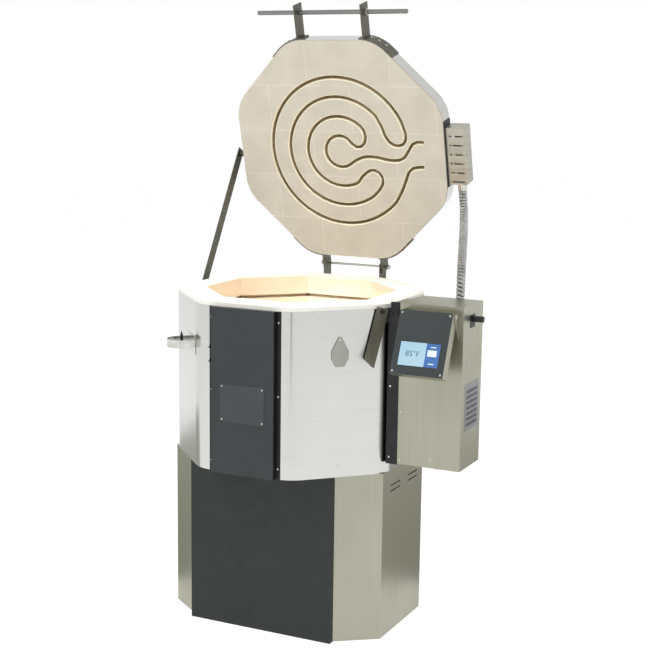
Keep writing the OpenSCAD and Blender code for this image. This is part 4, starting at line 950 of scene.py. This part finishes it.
@dataclass
class Lid:
    """Open lid: brick, element, band and handle."""

    centre: float = -HINGE[1]
    face: float = -31.5 * MM
    groove_depth: float = 12 * MM
    rings: tuple[float, ...] = (55 * MM, 122.5 * MM, 190 * MM, 257.5 * MM)
    handle_y: float = -890.0 * MM
    handle_z: float = 3.5 * MM
    handle_radius: float = 7.5 * MM
    handle_length: float = 546 * MM
    arm_x: float = 121 * MM
    lip: float = 4.2 * MM
    lip_reach: float = 345 * MM

    def matrix(self) -> Matrix:
        """Gives the matrix from the lid's frame to the open lid."""
        return Matrix.Translation(HINGE) @ Matrix.Rotation(-LID_ANGLE, 4, "X")

    def arc(self, ring: int, start: float, end: float, steps: int) -> Flat:
        """Gives points on one ring of the groove."""
        angles = [math.radians(start + (end - start) * i / steps) for i in range(steps + 1)]
        return [(self.rings[ring] * math.cos(a), self.rings[ring] * math.sin(a)) for a in angles]

    def route(self) -> list[Vector]:
        """Gives the groove's centre line, x to the right and y away from the hinge."""
        def hand(*pairs: tuple[float, float]) -> Flat:
            """Gives points of the stretches between the rings, from millimetres."""
            return [(x * MM, y * MM) for x, y in pairs]

        flat = (
            hand((308, 40), (286, 41), (266, 32), (250, 8), (234, -14), (214, -24), (190, -26), (164, -23),
                 (137, -17), (109, -15), (82, -18), (54, -30))
            + self.arc(0, -58, -302, 14)
            + hand((46, 28), (62, 17), (80, 20), (93, 34), (98, 56), (93, 76))
            + self.arc(1, 48, 296, 24)
            + hand((70, -90), (88, -73), (105, -64), (122, -63), (138, -72), (148, -89), (147, -108),
                   (134, -130))
            + self.arc(2, -56, -318, 32)
            + hand((160, 91), (171, 58), (183, 39), (198, 29), (215, 26), (232, 31), (243, 46), (245, 68))
            + self.arc(3, 25, 318, 42)
            + hand((216, -132), (234, -92), (245, -66), (262, -51), (284, -46), (304, -45)))
        return [Vector((x, self.centre - y, self.face + self.groove_depth * 0.55)) for x, y in flat]

    def brick(self) -> None:
        """Dresses the brick, with a wide worn lip all along its groove."""
        piece = skin("lid_brick", 0)
        to_lid = self.matrix().inverted()
        mesh = bmesh.new()
        mesh.from_mesh(piece.data)
        weight = mesh.edges.layers.float.new("bevel_weight_edge")
        for edge in mesh.edges:
            ends = [to_lid @ vertex.co for vertex in edge.verts]
            on_face = all(p.z < self.face + 0.05 * MM for p in ends)
            inside = all(math.hypot(p.x, p.y - self.centre) < self.lip_reach for p in ends)
            sharp = edge.calc_face_angle(0.0) > math.radians(50)
            edge[weight] = float(on_face and inside and sharp)
        mesh.to_mesh(piece.data)
        mesh.free()
        lip = piece.modifiers.new("lip", "BEVEL")
        lip.limit_method = "WEIGHT"
        lip.width = self.lip
        lip.segments = 3
        lip.use_clamp_overlap = False
        apply_all(piece)
        place_for(paint(soften(piece, 1.0 * MM, 2, 50), LID), "lid", "lid_brick")

    def element(self) -> None:
        """Winds the lid's element into its groove."""
        route = self.route()
        coil = Coil(3.3 * MM, 0.9 * MM, 3.2 * MM, 8).wind("lid_coil", route, Vector((0, 0, 1)))
        parts = [coil]
        for end in (route[0], route[-1]):
            parts.append(rod("tail", end, Vector((384.5 * MM, end.y, end.z)), 2 * MM, 12, 0))
        piece = joined("lid_coil", parts)
        place_for(paint(moved(piece, self.matrix()), OXIDE), "lid", "lid_element")

    def handle(self) -> None:
        """Models the bar with chamfered ends, and its two collars with set screws."""
        def spot(x: float, drop: float = 0.0) -> Vector:
            """Gives a place on the handle's axis, or below it."""
            return Vector((x, self.handle_y, self.handle_z - drop))

        x = self.handle_length / 2
        bar = rod("handle_bar.rod", spot(-x), spot(x), self.handle_radius, 40, 1.2 * MM)
        parts = []
        for side in (-1, 1):
            near = side * (self.arm_x + 2.3 * MM)
            middle = near + side * 4 * MM
            parts.append(rod("collar", spot(near), spot(near + side * 8 * MM), 11.4 * MM, 40, 0.9 * MM))
            parts.append(rod("set_screw", spot(middle, 9 * MM), spot(middle, 11.6 * MM), 1.9 * MM, 6, 0.2 * MM))
        place_for(paint(moved(bar, self.matrix()), BAR), "lid", "handle_bar")
        place_for(paint(moved(joined("handle_bar.collars", parts), self.matrix()), ZINC), "lid")

    def build(self) -> None:
        """Builds the lid."""
        self.brick()
        dress("lid_band", BRIGHT, 0.35 * MM, 2, 40)
        dress("lid_band_clamp", ZINC, 0.6 * MM)
        self.element()
        self.handle()


@dataclass
class Wiring:
    """Junction box on the lid and the conduit down to the control box."""

    outer: float = 13 * MM
    inner: float = 9.6 * MM
    lap_shade_radius: float = 10.9 * MM
    ribs: int = 42
    sides: int = 28
    top: Point = (423.5 * MM, 346.5 * MM, 1397.9 * MM)
    bottom: Point = (538.6 * MM, 45 * MM, 1065.3 * MM)
    straight: float = 26 * MM

    def line(self) -> list[Vector]:
        """Gives the conduit's centre line: straight ends and one smooth bend between them."""
        drop = Vector((0, math.cos(LID_ANGLE), -math.sin(LID_ANGLE)))
        top, bottom = Vector(self.top), Vector(self.bottom)
        a, b = top + drop * self.straight, bottom + Vector((0, 0, self.straight))
        ca, cb = a + drop * 110 * MM, b + Vector((0, 0, 150 * MM))
        bend = []
        for i in range(61):
            t = i / 60
            bend.append((1 - t) ** 3 * a + 3 * (1 - t) ** 2 * t * ca + 3 * (1 - t) * t * t * cb + t ** 3 * b)
        return smooth_route([top] + bend + [bottom], 1.0 * MM)

    def conduit(self) -> None:
        """Models the interlocked conduit as one tube whose strip laps over itself at every turn."""
        line = self.line()
        per_rib = 8
        rings = self.ribs * per_rib
        choose()
        bpy.ops.mesh.primitive_grid_add(x_subdivisions=self.sides, y_subdivisions=rings, size=1)
        piece = bpy.context.object
        profile = (0.0, 0.1, 0.8, 1.0, 1.0, 1.0, 0.8, 0.1)
        columns = self.sides + 1
        side = Vector((1, 0, 0))
        frames = []
        for j in range(rings + 1):
            k = min(len(line) - 1, round(j / rings * (len(line) - 1)))
            ahead = (line[min(k + 1, len(line) - 1)] - line[max(k - 1, 0)]).normalized()
            side = (side - ahead * side.dot(ahead)).normalized()
            frames.append((line[k], side, ahead.cross(side)))
        for j in range(rings + 1):
            centre, s, u = frames[j]
            for i in range(columns):
                turn = i / self.sides
                level = profile[round(j + turn * per_rib) % per_rib]
                r = self.inner + (self.outer - self.inner) * level
                a = 2 * math.pi * turn
                piece.data.vertices[j * columns + i].co = centre + r * (math.cos(a) * s + math.sin(a) * u)
        bpy.ops.object.mode_set(mode="EDIT")
        bpy.ops.mesh.select_all(action="SELECT")
        bpy.ops.mesh.remove_doubles(threshold=0.00002)
        bpy.ops.mesh.normals_make_consistent(inside=False)
        bpy.ops.object.mode_set(mode="OBJECT")
        wall = piece.modifiers.new("wall", "SOLIDIFY")
        wall.thickness, wall.offset = 1.0 * MM, -1
        apply_all(piece)
        bpy.ops.object.shade_smooth_by_angle(angle=math.radians(50))
        paint(settle(piece, "conduit.strip"), GALVANISED)
        # Painted shade: faces that dip towards the axis, in the laps between the ribs, take the dark strip.
        piece.data.materials.append(material(LAP_SHADE))
        for face in piece.data.polygons:
            near = min(line, key=lambda p: (p - face.center).length_squared)
            if (face.center - near).length < self.lap_shade_radius:
                face.material_index = 1
        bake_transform(piece)
        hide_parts("conduit")
        log.info("conduit.strip bends between kiln and lid")

    def build(self) -> None:
        """Builds the wiring."""
        dress("junction_box", SATIN_LID, 0.5 * MM)
        dress("junction_mount", BLACK, 0.8 * MM)
        for node, finish in (("junction_terminals", CERAMIC), ("conduit_connector", ZINC), ("conduit_elbow", ZINC)):
            dress(node, finish, 0.6 * MM)
        self.conduit()


@dataclass
class ControlBox:
    """Control box on the right, with its tilting controller."""

    screws: PanHead
    pivot: Point = (524.85 * MM, -184.0 * MM, 1062.0 * MM)
    tilt: float = math.radians(23.1)
    width: float = 169.5 * MM
    height: float = 198.5 * MM
    front: float = -20.0 * MM
    top: float = 6.0 * MM
    knob_radius: float = 10 * MM
    knob_length: float = 34 * MM
    label_rows: int = 7
    label_edge: float = 11 * MM
    label_row: float = 11 * MM

    def matrix(self) -> Matrix:
        """Gives the matrix from the controller's face to its place: x right, y up, z out of the face."""
        tilted = Matrix.Translation(self.pivot) @ Matrix.Rotation(-self.tilt, 4, "X")
        return tilted @ Matrix.Translation((0, self.front, 0)) @ Matrix.Rotation(math.radians(90), 4, "X")

    def faceplate(self) -> None:
        """Models the plate with round corners and its screws."""
        middle = self.top - self.height / 2
        plate = panel("controller_face", rounded(self.width, self.height, 5 * MM), 2 * MM, 0.6 * MM)
        plate = moved(plate, self.matrix() @ Matrix.Translation((0, middle, -2 * MM)))
        place_for(paint(plate, FACE), "controller", "controller_faceplate")
        heads = []
        for x in (-1, 1):
            for z in (9 * MM, self.height - 9 * MM):
                head = copy_of(self.screws.head)
                spot = Matrix.Translation((x * (self.width / 2 - 8 * MM), self.top - z, 0))
                head.matrix_world = self.matrix() @ spot @ Matrix.Scale(3.6 * MM, 4)
                heads.append(head)
        screws = joined("controller_face.screws", heads)
        place_for(paint(settle(screws, screws.name), ZINC), "controller")

    def display(self) -> None:
        """Models the display: border, pale reading area, blue column, key and digits."""
        low, high = -63.5 * MM, 63.5 * MM
        bottom, top = self.top - 170 * MM, self.top - 97.6 * MM
        split = low + 0.655 * (high - low)
        m = self.matrix()

        def tile(name: str, finish: object, span_x: tuple, span_y: tuple, rise: float, depth: float) -> Piece:
            """Adds one flat tile of the display."""
            (x0, x1), (y0, y1) = span_x, span_y
            made = panel(name, rounded(x1 - x0, y1 - y0, 1.2 * MM, 3), depth, 0.1 * MM)
            made = moved(made, m @ Matrix.Translation(((x0 + x1) / 2, (y0 + y1) / 2, rise)))
            return place_for(paint(made, finish), "controller")

        edge, lift, key_x = 2 * MM, 0.05 * MM, (split + high) / 2
        tile("screen_border", DARK_GLASS, (low - edge, high + edge), (bottom - edge, top + edge), 0, 0.25 * MM)
        pale = tile("screen_reading", PALE_SCREEN, (low, split), (bottom, top), lift, 0.32 * MM)
        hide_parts("controller_screen")
        tile("screen_column", BLUE_SCREEN, (split + 0.3 * MM, high), (bottom, top), lift, 0.32 * MM)
        tile("screen_key", WHITE_KEY, (key_x - 16 * MM, key_x + 13 * MM), (bottom + 33 * MM, top - 20 * MM),
             4 * lift, 0.26 * MM)
        for k in (9, 60):
            tile(f"screen_mark_{k}", WHITE_KEY, (key_x - 9 * MM, key_x + 9 * MM),
                 (bottom + k * MM, bottom + (k + 3) * MM), 4 * lift, 0.24 * MM)
        choose()
        bpy.ops.object.text_add()
        digits = bpy.context.object
        digits.data.body = "85°F"
        digits.data.size = 24 * MM
        digits.data.align_x = "CENTER"
        digits.data.align_y = "CENTER"
        digits.data.extrude = 0.08 * MM
        bpy.ops.object.convert(target="MESH")
        digits = bpy.context.object
        digits.name = "screen_digits"
        digits = moved(digits, m @ Matrix.Translation(((low + split) / 2, (bottom + top) / 2, 0.42 * MM)))
        place_for(paint(digits, INK), "controller")

    def pins(self) -> None:
        """Models the zinc heads of the two pins that the controller tilts on."""
        parts = []
        for side in (-1, 1):
            x = self.pivot[0] + side * (self.width / 2 + 2.3 * MM)
            near, far = Vector((x, *self.pivot[1:])), Vector((x + side * 3.6 * MM, *self.pivot[1:]))
            parts.append(rod("pin_head", near, far, 6.6 * MM, 28, 1.2 * MM))
        place_for(paint(joined("controller_pins", parts), ZINC), "kiln")

    def knob(self) -> None:
        """Models the switch knob: a skirt, a fluted grip with rounded edges, a shaft and a pointer."""
        low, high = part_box("switch_knob")
        y, z = (low.y + high.y) / 2, (low.z + high.z) / 2
        length = self.knob_length
        base = high.x - length
        choose()
        bpy.ops.mesh.primitive_cylinder_add(vertices=36, radius=self.knob_radius * 0.92, depth=length,
                                            location=(base + length / 2, y, z), rotation=(0, math.pi / 2, 0))
        grip = settle(bpy.context.object, "knob_grip")
        for vertex in grip.data.vertices:
            a = math.atan2(vertex.co.z - z, vertex.co.y - y)
            swell = 1 + 0.07 * math.cos(12 * a)
            vertex.co.y = y + (vertex.co.y - y) * swell
            vertex.co.z = z + (vertex.co.z - z) * swell
        soften(grip, 1.2 * MM, 3, 50)
        skirt = rod("knob_skirt", Vector((base, y, z)), Vector((base + 7 * MM, y, z)),
                    self.knob_radius * 0.995, 48, 1.2 * MM)
        shaft = rod("knob_shaft", Vector((low.x, y, z)), Vector((base + 1 * MM, y, z)), 4 * MM, 24, 0.3 * MM)
        pointer = block("knob_pointer", (base + length - 1 * MM, y - 0.9 * MM, z + 1 * MM),
                        (base + length, y + 0.9 * MM, z + 7 * MM), 0.2 * MM)
        turned = joined("switch_knob.grip", [grip, skirt, shaft])
        place_for(paint(turned, PLASTIC), "switch_knob", "switch_knob")
        place_for(paint(pointer, CERAMIC), "switch_knob")

    def label(self) -> None:
        """Models the bare data plate with raised blank fields."""
        low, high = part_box("data_plate")
        dress("data_plate", LABEL, 0.2 * MM)
        near, far = high.x - 0.15 * MM, high.x + 0.1 * MM
        left, right = low.y + self.label_edge, high.y - self.label_edge
        parts = []
        for i in range(self.label_rows):
            z0 = low.z + 14 * MM + i * (high.z - low.z - 28 * MM) / self.label_rows
            parts.append(block(f"field_{i}", (near, left, z0), (far, right, z0 + self.label_row), 0.05 * MM, 1))
        place_for(paint(joined("data_plate.fields", parts), SLATE), "kiln")

    def build(self) -> None:
        """Builds the box and the controller."""
        for node in ("control_box", "control_box_back", "controller_bracket", "controller_case"):
            dress(node, SATIN, 0.5 * MM)
        self.pins()
        dress("switch_plate", PLASTIC, 0.5 * MM)
        for node, finish in (("relay_board", HOUSING), ("power_terminals", PLASTIC), ("cable_gland", PLASTIC)):
            dress(node, finish, 0.6 * MM)
        self.faceplate()
        self.display()
        self.knob()
        self.label()


@dataclass
class Studio:
    """Pale floor, soft lamps and the photograph's camera."""

    focal: float = 1396.8
    pixels: float = 655.0
    sensor: float = 36.0
    yaw: float = math.radians(25.945)
    pitch: float = math.radians(9.821)
    roll: float = math.radians(0.747)
    eye: Point = (2.0610, -4.0335, 1.7354)

    def camera(self) -> None:
        """Sets the camera up where the photograph was taken."""
        data = bpy.data.cameras.new("camera")
        data.sensor_width = self.sensor
        data.lens = self.focal * self.sensor / self.pixels
        data.clip_end = 100
        camera = bpy.data.objects.new("camera", data)
        bpy.context.scene.collection.objects.link(camera)
        level = math.cos(self.pitch)
        ahead = Vector((-math.sin(self.yaw) * level, math.cos(self.yaw) * level, -math.sin(self.pitch)))
        flat = Vector((math.cos(self.yaw), math.sin(self.yaw), 0))
        high = flat.cross(ahead)
        right = flat * math.cos(self.roll) + high * math.sin(self.roll)
        up = high * math.cos(self.roll) - flat * math.sin(self.roll)
        turn = Matrix((right, up, -ahead)).transposed().to_4x4()
        camera.matrix_world = Matrix.Translation(self.eye) @ turn
        bpy.context.scene.camera = camera

    def lamp(self, name: str, place: Point, aim: Point, size: tuple[float, float],
             power: float, spread: float = 180) -> None:
        """Adds one soft lamp that points at a place.

        Args:
            name: Name of the lamp.
            place: Its place in metres.
            aim: Where it points.
            size: Width and height in metres.
            power: Power in watts.
            spread: Width of its beam in degrees.
        """
        data = bpy.data.lights.new(name, "AREA")
        data.shape = "RECTANGLE"
        data.size, data.size_y = size
        data.energy = power
        lamp = bpy.data.objects.new(name, data)
        lamp.visible_glossy = False
        lamp.visible_camera = False
        data.spread = math.radians(spread)
        bpy.context.scene.collection.objects.link(lamp)
        lamp.location = place
        lamp.rotation_euler = (Vector(aim) - Vector(place)).to_track_quat("-Z", "Y").to_euler()

    def world(self) -> None:
        """Lights the room evenly, with a plain white background for the camera, metal and glass."""
        g = Graph(bpy.data.worlds.new("studio"))
        bpy.context.scene.world = g.owner
        g.tree.nodes.clear()
        rays = g.add("LightPath").node.outputs
        straight = [rays["Is Camera Ray"], rays["Is Transmission Ray"]]
        seen = g.add("Math", straight, operation="MAXIMUM")
        fill = g.add("Background", {"Color": linear("#E8EAEC"), "Strength": 0.62})
        gloss = g.add("Background", {"Color": linear("#F4F4F4"), "Strength": 1.0})
        white = g.add("Background", {"Color": linear("#FFFFFF"), "Strength": 1.0})
        lit = g.add("MixShader", [rays["Is Glossy Ray"], fill, gloss])
        g.add("OutputWorld", [g.add("MixShader", [seen, lit, white])])

    def floor(self) -> None:
        """Lays a pale floor that keeps the kiln's shadow."""
        choose()
        bpy.ops.mesh.primitive_plane_add(size=60, location=(0, 0, 0))
        floor = settle(bpy.context.object, "floor")
        g = Graph(bpy.data.materials.new("pale floor"))
        cloud = g.add("MapRange", [g.add("TexNoise", {"Scale": 3.0, "Detail": 3.0}), 0.3, 0.7])
        colour = g.add("Mix", {0: cloud, 6: linear("#A2A2A2"), 7: linear("#A8A8A8")}, 2, data_type="RGBA")
        glow = g.add("Mix", {0: cloud, 6: linear("#F6F6F6"), 7: linear("#FAFAFA")}, 2, data_type="RGBA")
        floor.data.materials.append(g.finish({
            "Roughness": 0.95, "Specular IOR Level": 0.0, "Emission Strength": 0.86,
            "Base Color": colour, "Emission Color": glow}))

    def flag(self, name: str, azimuth: float, distance: float,
             width: float, height: float, colour: str) -> None:
        """Stands a card round the kiln that only metal and glass reflect.

        Args:
            name: Name of the card.
            azimuth: Degrees from the front, positive to the right.
            distance: Distance from the kiln's axis in metres.
            width: Width in metres.
            height: Height in metres.
            colour: Hex colour of the card.
        """
        card = self.card(name, colour)
        a = math.radians(azimuth)
        centre = Vector((math.sin(a) * distance, -math.cos(a) * distance, height / 2))
        facing = Vector((-math.sin(a), math.cos(a), 0))
        along = Vector((math.cos(a), math.sin(a), 0))
        turn = Matrix((along, Vector((0, 0, 1)), facing)).transposed().to_4x4()
        card.matrix_world = Matrix.Translation(centre) @ turn @ Matrix.Diagonal((width, height, 1, 1))
        settle(card, name)

    def card(self, name: str, colour: str) -> Piece:
        """Adds a unit card in one tone that hides from the camera and from diffuse light."""
        choose()
        bpy.ops.mesh.primitive_plane_add(size=1)
        card = bpy.context.object
        g = Graph(bpy.data.materials.new(f"{name} card"))
        card.data.materials.append(g.finish({
            "Roughness": 1.0, "Specular IOR Level": 0.0, "Emission Strength": 1.0,
            "Base Color": (0, 0, 0, 1), "Emission Color": linear(colour)}))
        card.visible_camera = False
        card.visible_diffuse = False
        card.visible_shadow = False
        card.visible_transmission = False
        return card

    def mat(self, name: str, azimuth: float, colour: str) -> None:
        """Lays a card on the floor that only metal and glass reflect."""
        card = self.card(name, colour)
        turn = Matrix.Rotation(math.radians(azimuth), 4, "Z")
        card.matrix_world = turn @ Matrix.Translation((0, -1.85, 3 * MM)) @ Matrix.Diagonal((1.5, 2.6, 1, 1))
        settle(card, name)

    def build(self) -> None:
        """Builds the studio."""
        bpy.context.scene.view_settings.view_transform = "Standard"
        self.camera()
        self.world()
        self.floor()
        self.lamp("key", (-2.6, -3.4, 4.2), (0, 0, 0.9), (2.4, 2.4), 95)
        self.lamp("side", (4.2, -1.6, 3.0), (0.2, 0, 1.0), (2.0, 2.6), 45)
        self.lamp("top", (0.3, 0.4, 5.0), (0, 0, 0.9), (3.0, 3.0), 60)
        self.lamp("chamber", (0.1, -0.7, 2.6), (0, 0.1, 0.8), (0.4, 0.4), 1.0, 38)
        self.lamp("chamber low", (0.0, -0.22, 1.06), (0.0, 0.29, 0.9), (0.3, 0.1), 0.2, 50)
        self.flag("left back", -148, 3.4, 0.5, 2.6, "#4A4C50")
        self.flag("right", 22, 4.6, 0.3, 2.6, "#A0A2A4")
        self.mat("mat behind", 153, "#A8A8A2")
        self.mat("mat left", -97, "#B0B2AA")


def main() -> None:
    """Builds the kiln's looks in order."""
    logging.basicConfig(level=logging.INFO, format="%(message)s")
    screws = PanHead()
    for part in (Stand(), Body(), Fittings(), Lid(), Wiring(), ControlBox(screws), Studio()):
        part.build()
        log.info("%s built", type(part).__name__)
    for node in ("jacket_screws", "cover_screws", "lid_screws", "control_box_screws"):
        screws.fill(node, ZINC)
    screws.clear()


if __name__ == "__main__":
    main()
